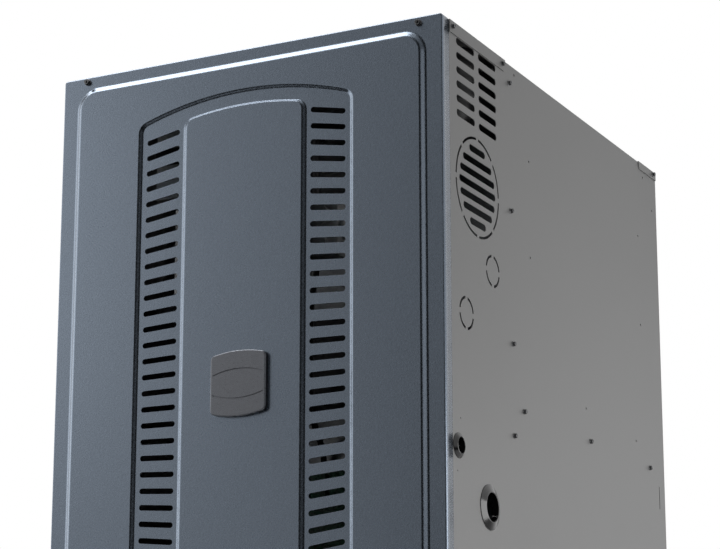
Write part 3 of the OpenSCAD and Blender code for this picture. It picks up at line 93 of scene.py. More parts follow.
# %% Helpers for node trees
def node_tree(owner):
    owner.use_nodes = True
    tree = owner.node_tree
    tree.nodes.clear()
    return tree, tree.nodes.new, tree.links.new


def white_light(add, strength):
    light = add("ShaderNodeBackground")
    light.inputs["Color"].default_value = (1, 1, 1, 1)
    light.inputs["Strength"].default_value = strength
    return light


def ramp(add, join, value, low, high, start, end, kind="SMOOTHSTEP"):
    """Maps a value from low..high to start..end."""
    remap = add("ShaderNodeMapRange")
    remap.interpolation_type = kind
    sockets = ("From Min", "From Max", "To Min", "To Max")
    for socket, number in zip(sockets, (low, high, start, end)):
        remap.inputs[socket].default_value = number
    join(value, remap.inputs["Value"])
    return remap.outputs["Result"]


def math_node(add, join, operation, first, second):
    node = add("ShaderNodeMath")
    node.operation = operation
    join(first, node.inputs[0])
    join(second, node.inputs[1])
    return node


def any_ray(add, join, path, *kinds):
    """1 for a ray of any of the kinds, else 0."""
    total = path.outputs[kinds[0]]
    for kind in kinds[1:]:
        total = math_node(add, join, "MAXIMUM", total, path.outputs[kind]).outputs[0]
    return total


print("node helpers are ready")

# %% [markdown]
# The dark band is measured with a dot product: it is 1 for a ray that goes straight to the
# band's middle and falls off to both sides. Flattening the rays first makes the band tall.
# The camera, and glass in front of it, see plain white.

# %% Build the world
FILL, DARK = 0.2, 0.01
BAND = math.radians(10)  # the band's middle, turned from -Y towards the camera
BAND_EDGE, BAND_CORE = 0.695, 0.914  # dot products where the band starts and is full
GROUND_DARK, GROUND_END = -0.3, 0  # ray heights between which the ground fades out
FLATTEN = 0.35  # share of a ray's height that counts for the band

world = bpy.data.worlds.new("studio")
bpy.context.scene.world = world
tree, add, join = node_tree(world)
path, toward = add("ShaderNodeLightPath"), add("ShaderNodeTexCoord")
flatten, level, front = [add("ShaderNodeVectorMath") for _ in range(3)]
flatten.operation, level.operation, front.operation = "MULTIPLY", "NORMALIZE", "DOT_PRODUCT"
flatten.inputs[1].default_value = (1, 1, FLATTEN)
front.inputs[1].default_value = Vector((math.sin(BAND), -math.cos(BAND), 0))
join(toward.outputs["Generated"], flatten.inputs[0])
join(flatten.outputs[0], level.inputs[0])
join(level.outputs[0], front.inputs[0])
height = add("ShaderNodeSeparateXYZ")
join(toward.outputs["Generated"], height.inputs[0])
band = ramp(add, join, front.outputs["Value"], BAND_EDGE, BAND_CORE, 1, DARK)
ground = ramp(add, join, height.outputs["Z"], GROUND_DARK, GROUND_END, DARK, 1)
print("band and ground nodes:", len(tree.nodes))

# %% Mix what each kind of ray sees
mirrored, fill, seen = white_light(add, 1), white_light(add, FILL), white_light(add, 1)
both = math_node(add, join, "MULTIPLY", band, ground)
join(both.outputs[0], mirrored.inputs["Strength"])
first, second = add("ShaderNodeMixShader"), add("ShaderNodeMixShader")
join(path.outputs["Is Glossy Ray"], first.inputs[0])
join(fill.outputs[0], first.inputs[1])
join(mirrored.outputs[0], first.inputs[2])
join(any_ray(add, join, path, "Is Camera Ray", "Is Transmission Ray"), second.inputs[0])
join(first.outputs[0], second.inputs[1])
join(seen.outputs[0], second.inputs[2])
join(second.outputs[0], add("ShaderNodeOutputWorld").inputs[0])
print("world nodes:", len(tree.nodes))

# %% [markdown]
# Each soft box is an area lamp that the camera doesn't see. The top one draws the white line
# along the door's upper bend, and the left one the pale lines of the bends that face left.
# The right one stands low and close, so the side is paler towards its foot. The strip picks
# out the door's right bend, and the back one lights the back panel.


# %% Hang the soft boxes
def soft_box(name, place, target, size, watts):
    lamp = bpy.data.objects.new(name, bpy.data.lights.new(name, "AREA"))
    bpy.context.scene.collection.objects.link(lamp)
    lamp.data.shape = "RECTANGLE"
    lamp.data.size, lamp.data.size_y = size
    lamp.data.energy = watts
    lamp.location = place
    aim = Vector(target) - Vector(place)
    lamp.rotation_euler = aim.to_track_quat("-Z", "Y").to_euler()
    lamp.visible_camera = False


# name, place, target, size, watts
soft_box("key", (-2.4, -2.4, 1.5), (0, -0.35, 0.4), (1.2, 1.2), 5)
soft_box("top", (-1.3, -0.7, 3.1), (0, -0.35, 0.8), (1.9, 1.9), 85)
soft_box("left", (-2.6, -0.75, 1.05), (-0.2, -0.35, 0.6), (1.9, 2.0), 24)
soft_box("right", (1.15, 0.3, 0.32), (0.27, 0.1, 0.0), (1.0, 0.5), 6)
soft_box("back", (-1.2, 3.0, 1.4), (0, 0.35, 0.4), (1.8, 1.6), 50)
soft_box("strip", (1.77, -2.2, 1.05), (0.24, -0.35, 0.45), (0.45, 1.6), 3)

# %% [markdown]
# ## Finishes
# Paint, zinc, rubber and plastic differ in colour, metal share and roughness, so each finish
# is one Principled shader. Image textures would need unwrapped parts. Noise in Object
# coordinates suits any shape: it breaks up the colour and the roughness and gives a grain, so
# no surface is one flat colour.


# %% Define a finish
def principled(name, color, metallic, rough):
    material = bpy.data.materials.new(name)
    tree, add, join = node_tree(material)
    shader = add("ShaderNodeBsdfPrincipled")
    shader.inputs["Base Color"].default_value = (*color, 1)
    shader.inputs["Metallic"].default_value = metallic
    shader.inputs["Roughness"].default_value = rough
    join(shader.outputs[0], add("ShaderNodeOutputMaterial").inputs[0])
    return material, add, join, shader


def object_place(add, join, stretch):
    place, mapping = add("ShaderNodeTexCoord"), add("ShaderNodeMapping")
    mapping.inputs["Scale"].default_value = stretch
    join(place.outputs["Object"], mapping.inputs["Vector"])
    return mapping.outputs[0]


NOISE_LOW, NOISE_HIGH = 0.3, 0.7  # the middle range that a noise texture mostly stays in


def spread(add, join, value, low, high):
    """Maps a pattern's middle range to low and high."""
    return ramp(add, join, value, NOISE_LOW, NOISE_HIGH, low, high, "LINEAR")


def pattern(add, join, vector, kind, scale):
    """A cloudy noise, or cells of one grey each."""
    texture = add("ShaderNodeTexVoronoi" if kind == "cells" else "ShaderNodeTexNoise")
    texture.inputs["Scale"].default_value = scale
    join(vector, texture.inputs["Vector"])
    if kind == "cells":
        grey = add("ShaderNodeSeparateColor")
        join(texture.outputs["Color"], grey.inputs[0])
        return grey.outputs[0]
    texture.inputs["Detail"].default_value = 3
    return texture.outputs["Fac"]


def finish(name, color, metallic, rough, vary, tint, rough_vary,
           grain=(400, 0.05, 0.0003), stretch=(1, 1, 1)):
    """Makes a finish that varies.

    vary is the kind and scale of the pattern, tint and rough_vary say how far it moves the
    colour and the roughness, and grain is the scale, strength and distance of the bump.
    """
    material, add, join, shader = principled(name, color, metallic, rough)
    vector = object_place(add, join, stretch)
    cloud = pattern(add, join, vector, *vary)
    shade = add("ShaderNodeMix")
    shade.data_type = "RGBA"
    shade.inputs[6].default_value = (*[c * (1 - tint) for c in color], 1)
    shade.inputs[7].default_value = (*[min(1, c * (1 + tint)) for c in color], 1)
    join(spread(add, join, cloud, 0, 1), shade.inputs[0])
    join(shade.outputs[2], shader.inputs["Base Color"])
    varied = spread(add, join, cloud, rough - rough_vary, rough + rough_vary)
    join(varied, shader.inputs["Roughness"])
    scale, strength, distance = grain
    bump = add("ShaderNodeBump")
    bump.inputs["Strength"].default_value = strength
    bump.inputs["Distance"].default_value = distance
    join(pattern(add, join, vector, "noise", scale), bump.inputs["Height"])
    join(bump.outputs[0], shader.inputs["Normal"])
    return material


print("finish helpers are ready")

# %% [markdown]
# The door has a fine powder coat over steel, the sides a smoother satin coat. Hidden sheet
# parts are galvanised, and the spangle of their zinc is a pattern of cells. Brushed and drawn
# metals have their noise stretched along one axis.

# %% Make the finishes
# name: colour, metal share, roughness, pattern, tint, roughness change, grain, stretch
FINISHES = {
    "door_paint": ((0.132, 0.157, 0.192), 0.95, 0.26, ("noise", 700), 0.1, 0.04,
                   (650, 0.12, 0.0005)),
    "cabinet_steel": ((0.235, 0.235, 0.235), 0.1, 0.42, ("noise", 9), 0.03, 0.03,
                      (900, 0.05, 0.0003)),
    "galvanised": ((0.36, 0.37, 0.385), 0.9, 0.38, ("cells", 70), 0.16, 0.1),
    "zinc_screw": ((0.6, 0.6, 0.58), 1, 0.3, ("noise", 300), 0.1, 0.08),
    "dark_screw": ((0.12, 0.122, 0.126), 0.85, 0.3, ("noise", 500), 0.2, 0.08),
    "black_plastic": ((0.02, 0.02, 0.022), 0, 0.48, ("noise", 120), 0.2, 0.06,
                      (1500, 0.12, 0.0002)),
    "gloss_black": ((0.006, 0.006, 0.007), 0, 0.14, ("noise", 60), 0.2, 0.03,
                    (300, 0.02, 0.0002)),
    "badge_plastic": ((0.125, 0.131, 0.145), 0.75, 0.3, ("noise", 900), 0.14, 0.04,
                      (900, 0.1, 0.0002)),
    # painted shade: the white pipe gets a near-black colour, so it shows as the shade behind the
    # side's louvres and slots
    "white_pipe": ((0.05, 0.05, 0.052), 0, 0.36, ("noise", 40), 0.1, 0.05),
    "aluminised": ((0.48, 0.48, 0.47), 0.85, 0.45, ("noise", 60), 0.12, 0.1),
    "foil": ((0.7, 0.71, 0.73), 0.95, 0.3, ("noise", 45), 0.08, 0.1, (60, 0.5, 0.002)),
    "stainless": ((0.55, 0.54, 0.52), 1, 0.32, ("noise", 90), 0.1, 0.1,
                  (300, 0.08, 0.0003), (1, 0.05, 1)),
    "brass": ((0.6, 0.42, 0.16), 1, 0.3, ("noise", 200), 0.1, 0.08),
    "cast_aluminium": ((0.52, 0.53, 0.54), 0.9, 0.46, ("noise", 250), 0.1, 0.08,
                       (900, 0.25, 0.0004)),
    "red_plastic": ((0.42, 0.03, 0.02), 0, 0.3, ("noise", 150), 0.1, 0.05),
    "ceramic": ((0.72, 0.68, 0.58), 0, 0.55, ("noise", 300), 0.08, 0.08,
                (900, 0.2, 0.0003)),
    "motor_paint": ((0.025, 0.025, 0.028), 0.3, 0.36, ("noise", 200), 0.2, 0.08,
                    (700, 0.12, 0.0004)),
    "fin_metal": ((0.66, 0.67, 0.68), 1, 0.34, ("noise", 150), 0.08, 0.08),
    "silicone": ((0.4, 0.03, 0.02), 0, 0.5, ("noise", 200), 0.12, 0.06),
    "black_rubber": ((0.018, 0.018, 0.018), 0, 0.6, ("noise", 200), 0.2, 0.08,
                     (600, 0.2, 0.0003)),
    "circuit_board": ((0.02, 0.12, 0.06), 0, 0.35, ("cells", 260), 0.35, 0.08,
                      (260, 0.3, 0.0003)),
    "transformer_iron": ((0.08, 0.08, 0.085), 0.7, 0.5, ("noise", 200), 0.15, 0.08,
                         (900, 0.4, 0.0005), (1, 0.02, 1)),
    "capacitor_can": ((0.62, 0.63, 0.64), 1, 0.3, ("noise", 120), 0.06, 0.06,
                      (300, 0.06, 0.0003), (1, 1, 0.05)),
    "white_plastic": ((0.72, 0.72, 0.7), 0, 0.4, ("noise", 120), 0.05, 0.05),
}
LOOKS = {name: finish(name, *values) for name, values in FINISHES.items()}
LOOKS["sight"] = principled("sight", (0.85, 0.95, 0.97), 0, 0.05)[0]

SATIN_SHEEN = 0.2  # the satin coat mirrors less than a gloss paint
for node in LOOKS["cabinet_steel"].node_tree.nodes:
    if node.type == "BSDF_PRINCIPLED":
        node.inputs["Specular IOR Level"].default_value = SATIN_SHEEN
print("finishes:", len(LOOKS))

# %% [markdown]
# Each real part is made of one material, and the record names it. Finishes could be given by
# hand, object by object. A loop over the record is shorter and can't leave a part out.

# %% Give every CAD node its finish
for part in frame["record"]["subparts"]:
    mesh = nodes[part["node"]].data
    mesh.materials.clear()
    mesh.materials.append(LOOKS[part["material_slot"]])

# %% [markdown]
# ## The door's outlines
# The real door is one pressed sheet: a raised field, an arched channel sunk into it and a
# raised centre. Bevelled boxes would give flanks of one slope only. Loops of points at rising
# heights, bridged by faces, give each flank a straight slope between two round bends, and
# those bends are what catches the light.

# %% Outlines of the pressed shapes
FRONT, TOP, BASE = -0.3506, 0.8636, 0.0303  # the door's front face, upper and lower edge
MID, HALF_L, HALF_W = (TOP + BASE) / 2, (TOP - BASE) / 2, 0.2667


def arc(cx, cy, r, start, end, count):
    steps = [math.radians(start + (end - start) * k / count) for k in range(count + 1)]
    return [(cx + r * math.cos(a), cy + r * math.sin(a)) for a in steps]


def mirror_round(quarter):
    """Closes an outline from its top right quarter, from the top middle to the right middle."""
    right = quarter + [(x, -y) for x, y in reversed(quarter[:-1])]
    return right + [(-x, y) for x, y in reversed(right[1:-1])]


def round_rect(half_w, half_l, r, corner=10, side=6):
    top = [(k / side * (half_w - r), half_l) for k in range(side)]
    turn = arc(half_w - r, half_l - r, r, 90, 0, corner)
    return mirror_round(top + turn + [(half_w, 0)])


def arched(half, crown, big, r, corner=10, side=24):
    """Outline with arched ends: half width, crown, arc and corner radius."""
    cx, cy = half - r, crown - big + math.sqrt((big - r) ** 2 - (half - r) ** 2)
    lean = math.degrees(math.atan2(cy - crown + big, cx))
    top = arc(0, crown - big, big, 90, lean, side)[:-1]
    return mirror_round(top + arc(cx, cy, r, lean, 0, corner) + [(half, 0)])


print("a corner has", len(arc(0, 0, 1, 90, 0, 10)), "points")

# %% [markdown]
# A flank runs from the sizes of its foot to those of its edge. Its height follows a straight
# slope, with a bend over the first and the last share of its width.

# %% Flanks of the field, the channel and the centre
BEND_SHARE = 0.3  # share of a flank's width in each of its two bends
RISE, SUNK = 0.004, 0.0014  # heights of the field and of the channel's floor


def lift_at(t):
    """Height share at a width share: a straight slope between two round bends."""
    if t > 0.5:
        return 1 - lift_at(1 - t)
    bend = t * t / (2 * BEND_SHARE)
    return (bend if t < BEND_SHARE else t - BEND_SHARE / 2) / (1 - BEND_SHARE)


def flank(make, foot, edge, low, high, steps=10):
    """Loops from the foot up to the edge of a pressed flank."""
    loops = []
    for k in range(steps + 1):
        t = k / steps
        sizes = [a + (b - a) * t for a, b in zip(foot, edge)]
        z = low + (high - low) * lift_at(t)
        loops.append([(x, y, z) for x, y in make(*sizes)])
    return loops


outer = flank(round_rect, (0.246, HALF_L - 0.015, 0.030),
              (0.237, HALF_L - 0.024, 0.021), 0, RISE)
channel = flank(arched, (0.1449, HALF_L - 0.0572, 0.4375, 0.0095),
                (0.1508, HALF_L - 0.0522, 0.4425, 0.0154), SUNK, RISE)
centre = flank(arched, (0.0868, HALF_L - 0.0712, 0.414, 0.0155),
               (0.08, HALF_L - 0.0746, 0.4106, 0.0105), SUNK, RISE)
print("points in a loop:", len(outer[0]), len(channel[0]), len(centre[0]))

# %% [markdown]
# ## Tools for new pieces
# A loop is a ring of vertices and edges. Bridging turns neighbouring loops into a skin, as
# Bridge Edge Loops does in the editor. A finished piece gets its look, the body that it moves
# with and the CAD nodes that it stands for.


# %% Helpers that bridge, finish and shade a mesh
def add_loop(bm, points):
    verts = [bm.verts.new(p) for p in points]
    edges = [bm.edges.new(pair) for pair in zip(verts, verts[1:] + verts[:1])]
    return verts, edges


def skin(bm, loops):
    """Bridges neighbouring loops of equal length with faces."""
    for low, high in zip(loops, loops[1:]):
        bmesh.ops.bridge_loops(bm, edges=low[1] + high[1])


MERGE = 1e-7


def make_piece(name, bm, look, body, *stands_for):
    bmesh.ops.remove_doubles(bm, verts=bm.verts, dist=MERGE)
    bmesh.ops.recalc_face_normals(bm, faces=bm.faces)
    mesh = bpy.data.meshes.new(name)
    bm.to_mesh(mesh)
    bm.free()
    mesh.materials.append(LOOKS[look])
    piece = bpy.data.objects.new(name, mesh)
    bpy.context.scene.collection.objects.link(piece)
    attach(piece, body)
    if stands_for:
        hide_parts(*stands_for)
    return piece


FLAT = 0.9999  # how squarely a face has to look along Y to count as flat


def smooth_bends(piece):
    """Shades the bends smooth and leaves the flat areas flat."""
    for face in piece.data.polygons:
        face.use_smooth = abs(face.normal.y) < FLAT
    return piece


def smooth(piece, degrees):
    """Shades smooth, apart from edges sharper than the angle."""
    for face in piece.data.polygons:
        face.use_smooth = True
    piece.data.set_sharp_from_angle(angle=math.radians(degrees))
    piece.modifiers.new("even", "WEIGHTED_NORMAL").keep_sharp = True
    return piece


# %% [markdown]
# ## The door's skin
# The 66 slots let air in. They are punched in two columns, and they fan out with the arches.
# A Boolean could cut them, but it leaves ragged faces. Here their outlines join the
# edges of the flat area that triangle_fill closes, so they stay open from the start. The
# sheet is one face thick until Solidify gives it its real thickness.


# %% Outline of a slot
def slot_outline(cx, cy, length, height, turn, corner=7):
    reach, r = (length - height) / 2, height / 2
    ends = arc(reach, 0, r, -90, 90, corner) + arc(-reach, 0, r, 90, 270, corner)
    c, s = math.cos(turn), math.sin(turn)
    return [(cx + x * c - y * s, cy + x * s + y * c) for x, y in ends]


SLOT_ROWS, SLOT_PITCH, SLOT_DROP = 33, 0.02013, 0.0983
SLOT_X, SLOT_L, SLOT_H = 0.1154, 0.048, 0.0068
SLOT_FAN = 11.2  # degrees that the end slots lean
print("slots:", 2 * SLOT_ROWS)

# %% [markdown]
# The side lip with its bend and the three flanks are skinned first. The flat border, field,
# channel floor and centre between them are filled last, each from the edges that bound it.
# That way the round parts have clean rows of faces, and only flat areas have triangles.

# %% Build the door's skin
LIP, EDGE_BEND, SHEET = 0.018, 0.0016, 0.0012  # side lip, radius of its bend, thickness
DOOR_CORNER, CORNER_STEPS, EDGE_STEPS = 0.004, 4, 4

bm = bmesh.new()
edge_loops = []
for k in range(EDGE_STEPS + 1):
    a = math.pi / 2 * (1 - k / EDGE_STEPS)
    inset = EDGE_BEND * (1 - math.cos(a))
    outline = round_rect(HALF_W - inset, HALF_L - inset, DOOR_CORNER - inset, CORNER_STEPS)
    edge_loops.append([(x, y, EDGE_BEND * math.sin(a) - EDGE_BEND) for x, y in outline])
outline = round_rect(HALF_W, HALF_L, DOOR_CORNER, CORNER_STEPS)
edge_loops.append([(x, y, -LIP) for x, y in outline])
rim = [add_loop(bm, loop) for loop in edge_loops]
rise = [add_loop(bm, loop) for loop in outer]
sink = [add_loop(bm, loop) for loop in reversed(channel)]
lift = [add_loop(bm, loop) for loop in centre]
for group in (rim, rise, sink, lift):
    skin(bm, group)
print("faces of the lip and the flanks:", len(bm.faces))

# %% [markdown]
# The slots' outlines are among the edges of the channel floor, so its fill leaves them open.
# The door was drawn lying flat. At the end it is turned to face -Y and moved to its place.

# %% Punch the slots and fill the flat areas
holes = []
for side in (-1, 1):
    for k in range(SLOT_ROWS):
        lean = math.radians(side * SLOT_FAN * (2 * k / (SLOT_ROWS - 1) - 1))
        cy = HALF_L - SLOT_DROP - k * SLOT_PITCH
        outline = slot_outline(side * SLOT_X, cy, SLOT_L, SLOT_H, lean)
        holes += add_loop(bm, [(x, y, SUNK) for x, y in outline])[1]
border, field = rim[0][1] + rise[0][1], rise[-1][1] + sink[0][1]
channel_floor = sink[-1][1] + lift[0][1] + holes
for edges in (border, field, channel_floor, lift[-1][1]):
    bmesh.ops.triangle_fill(bm, edges=edges, use_beauty=True, normal=(0, 0, 1))
UPRIGHT = Matrix.Rotation(math.pi / 2, 4, "X")  # turns a shape drawn flat to face -Y
on_door = Matrix.Translation((0, FRONT, MID)) @ UPRIGHT
bmesh.ops.transform(bm, matrix=on_door, verts=bm.verts)
print("door skin faces:", len(bm.faces))

# %% [markdown]
# The real sheet is a little over a millimetre thick, which shows at the slots. A second skin
# could be modelled behind the first. Solidify grows it inwards instead, evenly everywhere.

# %% Thicken the skin
door = make_piece("door_skin", bm, "door_paint", "front_door", "front_door")
if door.data.polygons[-1].normal.y > 0:
    door.data.flip_normals()
sheet = door.modifiers.new("sheet", "SOLIDIFY")
sheet.thickness, sheet.offset = SHEET, -1
smooth_bends(door)
print("door piece:", door.name, len(door.data.polygons))

# %% [markdown]
# The lip's edge is folded inwards as a hem, and two tabs at the foot hook into the base's
# rail. They are flat strips of sheet, so a stretched and slightly bevelled cube is enough.


# %% Add the hems and the hook tabs
def add_strip(bm, xs, ys, zs):
    """A cube stretched between two corners."""
    made = bmesh.ops.create_cube(bm, size=1)["verts"]
    spans = [sorted(pair) for pair in (xs, ys, zs)]
    size = Matrix.Diagonal([b - a for a, b in spans]).to_4x4()
    place = Matrix.Translation([(a + b) / 2 for a, b in spans])
    bmesh.ops.transform(bm, matrix=place @ size, verts=made)


HEM_IN, HEM_OUT, HEM_EDGE = 0.014, 0.0014, 0.0003  # from the door's edge; size of the bevel
TAB_X, TAB_DEPTH, TAB_BELOW, TAB_ABOVE = (0.16, 0.2), 0.012, 0.008, 0.002
bm = bmesh.new()
for side in (-1, 1):
    add_strip(bm, (side * (HALF_W - HEM_OUT), side * (HALF_W - HEM_IN)),
              (FRONT + LIP - SHEET, FRONT + LIP), (BASE + HEM_OUT, TOP - HEM_OUT))
    add_strip(bm, (side * TAB_X[0], side * TAB_X[1]),
              (FRONT + TAB_DEPTH, FRONT + TAB_DEPTH + SHEET), (BASE - TAB_BELOW, BASE + TAB_ABOVE))
bmesh.ops.bevel(bm, geom=bm.edges[:], offset=HEM_EDGE, affect="EDGES", segments=2,
                profile=0.5, material=-1)
hems = smooth(make_piece("door_hems", bm, "door_paint", "front_door"), 35)
print("door hems:", len(hems.data.polygons))

# %% [markdown]
# ## The badge
# A moulded plate with arched ends sits on the raised centre. Two shallow curved grooves frame
# a bare field. The plate is a stack of loops again, because its rounded edge follows the
# arches. The grooves are cut out of its face as outlines and given walls and a floor.


# %% Build the badge
def plate_loops(half, crown, big, r, profile):
    """Outlines drawn in by an inset at each height of the profile."""
    return [[(x, y, h) for x, y in arched(half - i, crown - i, big - i, r - i, *BADGE_STEPS)]
            for i, h in profile]


BADGE_HALF, BADGE_CROWN, BADGE_CORNER = 0.0375, 0.03975, 0.006
BADGE_STEPS = 8, 20  # points in a corner and in half an arc
CROWN_RISE = 0.005  # how far the arched end stands above its corners
BADGE_ARC = (BADGE_HALF**2 + CROWN_RISE**2) / (2 * CROWN_RISE)
FACE, GROOVE_FLOOR = 0.01, 0.0084
BADGE_EDGE = [(0, RISE - 0.0002), (0, 0.0091), (0.0002, 0.0096), (0.0007, 0.0099),
              (0.0013, FACE)]  # inset and height
GROOVE_ENDS = ((0.0181, 1), (-0.0188, -1))  # height of the groove's crown, and its bow
GROOVE_ARC, GROOVE_REACH, GROOVE_W = 0.104, 0.0345, 0.0014
GROOVE_STEPS, GROOVE_TAPER = 14, 0.996
BADGE_DROP = 0.0053  # below the door's middle

bm = bmesh.new()
plate = [add_loop(bm, loop) for loop in
         plate_loops(BADGE_HALF, BADGE_CROWN, BADGE_ARC, BADGE_CORNER, BADGE_EDGE)]
skin(bm, plate)
grooves = []
for crown, bow in GROOVE_ENDS:
    xs = [GROOVE_REACH * (k / GROOVE_STEPS - 1) for k in range(2 * GROOVE_STEPS + 1)]
    upper = [(x, crown + bow * (math.sqrt(GROOVE_ARC**2 - x * x) - GROOVE_ARC)) for x in xs]
    rims = upper + [(x, y - bow * GROOVE_W) for x, y in reversed(upper)]
    top_loop = add_loop(bm, [(x, y, FACE) for x, y in rims])
    floor_loop = add_loop(bm, [(x * GROOVE_TAPER, y, GROOVE_FLOOR) for x, y in rims])
    skin(bm, [top_loop, floor_loop])
    bmesh.ops.triangle_fill(bm, edges=floor_loop[1], use_beauty=True, normal=(0, 0, 1))
    grooves += top_loop[1]
bmesh.ops.triangle_fill(bm, edges=plate[-1][1] + grooves, use_beauty=True, normal=(0, 0, 1))
bmesh.ops.triangle_fill(bm, edges=plate[0][1], use_beauty=True, normal=(0, 0, -1))
lower = Matrix.Translation((0, 0, -BADGE_DROP))
bmesh.ops.transform(bm, matrix=lower @ on_door, verts=bm.verts)
badge = smooth_bends(make_piece("badge_plate", bm, "badge_plastic", "front_door", "badge"))
print("badge faces:", len(badge.data.polygons))

# %% [markdown]
# ## Screws
# Sheet metal is held by hexagon washer head screws: a thin round washer under a six-sided
# head with a chamfered top and a shallow dish. A cone with six sides would miss the washer's
# blend into the head, so rings and hexagons with the same number of points are bridged.

# %% Shape of a screw
SIDES = 24
WASHER, WASHER_EDGE = 0.0008, (0.0004, 0.0003)  # thickness, and its bevel's width and height
DISH = 0.0005
CIRCLE = 0.93  # radius of the circle between a hexagon's flats and corners, as a share
CHAMFER, TAPER, BLEND = 0.85, 0.93, 0.6  # start of the chamfer, size and roundness of the top
DISH_RIM, DISH_FLOOR = 0.6, 0.45  # radii of the dish, as shares of the corner radius
# across flats, head height, washer radius, shank radius, shank length
DOOR_SCREW = 0.0065, 0.0036, 0.0042, 0.0024, 0.02
SIDE_SCREW = 0.0052, 0.003, 0.0033, 0.0019, 0.006


def turned(radius_at, z):
    """A loop whose radius depends on the angle."""
    angles = [2 * math.pi * k / SIDES for k in range(SIDES)]
    return [(radius_at(a) * math.cos(a), radius_at(a) * math.sin(a), z) for a in angles]


def ring(r, z):
    return turned(lambda a: r, z)


def hexagon(r, z, blend=0):
    """A hexagon of corner radius r, blended towards a circle."""
    def radius_at(a):
        flat = math.cos(math.pi / 6) / math.cos(a % (math.pi / 3) - math.pi / 6)
        return r * ((1 - blend) * flat + blend * CIRCLE)
    return turned(radius_at, z)


def screw_head(bm, place, across, head, washer, shank, length):
    """Builds one screw along +Z and moves it to its place."""
    corner, top = across / math.sqrt(3), WASHER + head
    shapes = [ring(shank, -length), ring(shank, 0), ring(washer, 0),
              ring(washer, WASHER - WASHER_EDGE[1]), ring(washer - WASHER_EDGE[0], WASHER),
              hexagon(corner, WASHER), hexagon(corner, WASHER + head * CHAMFER),
              hexagon(corner * TAPER, top, BLEND),
              ring(corner * DISH_RIM, top), ring(corner * DISH_FLOOR, top - DISH)]
    loops = [add_loop(bm, shape) for shape in shapes]
    skin(bm, loops)
    bm.faces.new(loops[0][0][::-1])
    bm.faces.new(loops[-1][0])
    bmesh.ops.transform(bm, matrix=place, verts=[v for loop in loops for v in loop[0]])


def facing(x, y, z, side):
    """A place on the cabinet's right (1) or left (-1) side, with +Z turned outwards."""
    outwards = Matrix.Rotation(side * math.pi / 2, 4, "Y")
    return Matrix.Translation((side * x, y, z)) @ outwards


print("points round a screw:", SIDES)

# %% [markdown]
# Two screws hold the door at its upper corners. They aren't quite level on the real door, so
# each has a place of its own.

# %% Drive the door's screws
bm = bmesh.new()
for x, drop in ((-0.2315, 0.0066), (0.2355, 0.008)):
    place = Matrix.Translation((x, FRONT, TOP - drop)) @ UPRIGHT
    screw_head(bm, place, *DOOR_SCREW)
door_screws = make_piece("door_hex_screws", bm, "dark_screw", "front_door", "door_screws")
smooth(door_screws, 30)
print("door screws' faces:", len(door_screws.data.polygons))

# %% [markdown]
# The side screws lie in a column on the vestibule panel and in a row on the blower deck. The
# cap and the rear rail overlap the sides, so the screws through them stand a little further
# out. Places are (depth behind the door's face, drop below the top).

# %% Drive the side screws
CAB_D, CAB_H, DECK = 0.7112, 0.8636, 0.436
LAPPED_X, ROW_DROP = 0.2678, 0.012
lapped = [(0.0253, 0.0096), (0.1698, 0.0096), (CAB_D - 0.012, 0.0064)]
plain = [(0.192, share * CAB_H) for share in (0.0324, 0.2243, 0.4186, 0.5496)]
plain += [(share * CAB_D, CAB_H - DECK + ROW_DROP) for share in (0.313, 0.615, 0.919)]
bm = bmesh.new()
for side in (-1, 1):
    for x, places in ((LAPPED_X, lapped), (HALF_W, plain)):
        for depth, drop in places:
            place = facing(x, FRONT + depth, TOP - drop, side)
            screw_head(bm, place, *SIDE_SCREW)
side_screws = make_piece("side_hex_screws", bm, "dark_screw", "cabinet", "casing_screws")
smooth(side_screws, 30)
print("side screws:", 2 * (len(lapped) + len(plain)), "faces:", len(side_screws.data.polygons))

# %% [markdown]
# ## Bushings
# Two moulded bushings low on each side keep the gas pipe and the wires off the sheet's edge.
# They are shiny black rings with a sloped collar. Cylinders with bevels would come close, but
# the collar slopes and its neck is narrower. One profile spun about the hole's axis gives the
# exact section, and the full turn merges its ends, so there is no seam.


# %% Spin the bushings
def spin_profile(bm, profile, place, steps=64):
    """Spins (radius, height) points a full turn about Z and moves the ring to its place."""
    verts, edges = add_loop(bm, [(r, 0, h) for r, h in profile])
    bmesh.ops.spin(bm, geom=verts + edges, cent=(0, 0, 0), axis=(0, 0, 1),
                   angle=2 * math.pi, steps=steps, use_merge=True)
    made = {v for face in bm.faces for v in face.verts if not v.tag}
    bmesh.ops.transform(bm, matrix=place, verts=list(made))
    for v in made:
        v.tag = True


def collar_profile(r, neck, bore):
    """(radius, height) points round the section of a bushing, from the mouth of its bore."""
    return [(bore, 0.0032), (bore, -0.004), (neck, -0.004), (neck + 0.00015, -0.0012),
            (neck, 0), (r, 0), (r, 0.0005), (r - 0.0004, 0.0009), (bore + 0.0014, 0.0038),
            (bore + 0.0009, 0.004), (bore + 0.0003, 0.0039)]


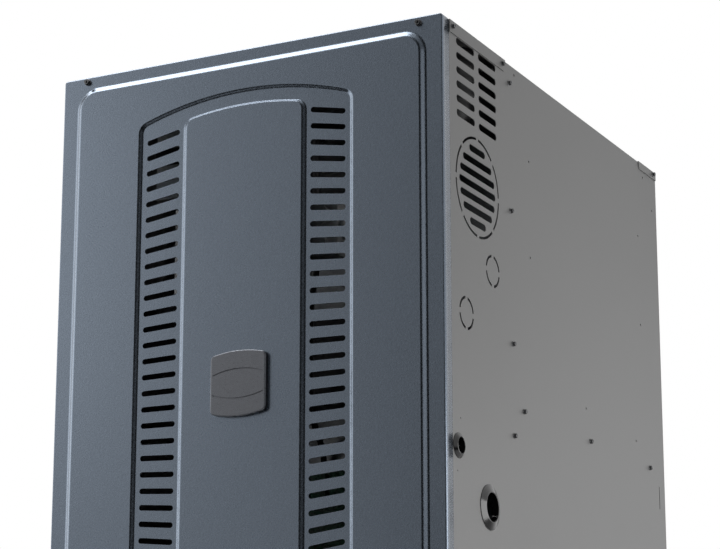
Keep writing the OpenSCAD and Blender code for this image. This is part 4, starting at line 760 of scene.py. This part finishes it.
BUSHINGS = {  # (collar, neck and bore radius), depth, drop
    "small": ((0.0149, 0.0124, 0.0093), 0.0336, 0.513),
    "large": ((0.0271, 0.0236, 0.017), 0.118, 0.572),
}
for name, (sizes, depth, drop) in BUSHINGS.items():
    bm = bmesh.new()
    for side in (-1, 1):
        place = facing(HALF_W, FRONT + depth, TOP - drop, side)
        spin_profile(bm, collar_profile(*sizes), place)
    rings = make_piece(name + "_bushing_rings", bm, "gloss_black", "cabinet", name + "_bushings")
    smooth(rings, 50)
    print(rings.name, len(rings.data.polygons))

# %% [markdown]
# ## The floor
# A pale round floor keeps the cabinet's shadow. It fades out at its rim, so it ends nowhere,
# and it is clear from below, because the photograph was taken from lower than its base. Metal
# and glass show it pale too, but it throws little light back up at the cabinet.

# %% Build the floor
FLOOR_R, FADE_START, FADE_END = 1.4, 0.7, 1.38
PALE, DIM = (0.86, 0.86, 0.86), (0.05, 0.05, 0.05)
bm = bmesh.new()
bmesh.ops.create_circle(bm, cap_ends=True, radius=FLOOR_R, segments=96)
floor_mesh = bpy.data.meshes.new("floor")
bm.to_mesh(floor_mesh)
bm.free()
floor = bpy.data.objects.new("floor", floor_mesh)
bpy.context.scene.collection.objects.link(floor)

floor_look, add, join, shader = principled("floor", PALE, 0, 0.7)
kinds = ("Is Camera Ray", "Is Glossy Ray", "Is Transmission Ray")
tone = add("ShaderNodeMix")
tone.data_type = "RGBA"
tone.inputs[6].default_value = (*DIM, 1)
tone.inputs[7].default_value = (*PALE, 1)
join(any_ray(add, join, add("ShaderNodeLightPath"), *kinds), tone.inputs[0])
join(tone.outputs[2], shader.inputs["Base Color"])
place, length = add("ShaderNodeTexCoord"), add("ShaderNodeVectorMath")
length.operation = "LENGTH"
join(place.outputs["Object"], length.inputs[0])
fade = ramp(add, join, length.outputs["Value"], FADE_START, FADE_END, 1, 0)
under = add("ShaderNodeNewGeometry").outputs["Backfacing"]
shown = math_node(add, join, "SUBTRACT", fade, under)
shown.use_clamp = True
join(shown.outputs[0], shader.inputs["Alpha"])
floor_mesh.materials.append(floor_look)
print("floor radius", FLOOR_R)

# %% [markdown]
# ## The view transform
# The Standard view shows colours as they are written, where a film-like view would wash out the
# dark paint.

# %% Set the view transform
bpy.context.scene.view_settings.view_transform = "Standard"
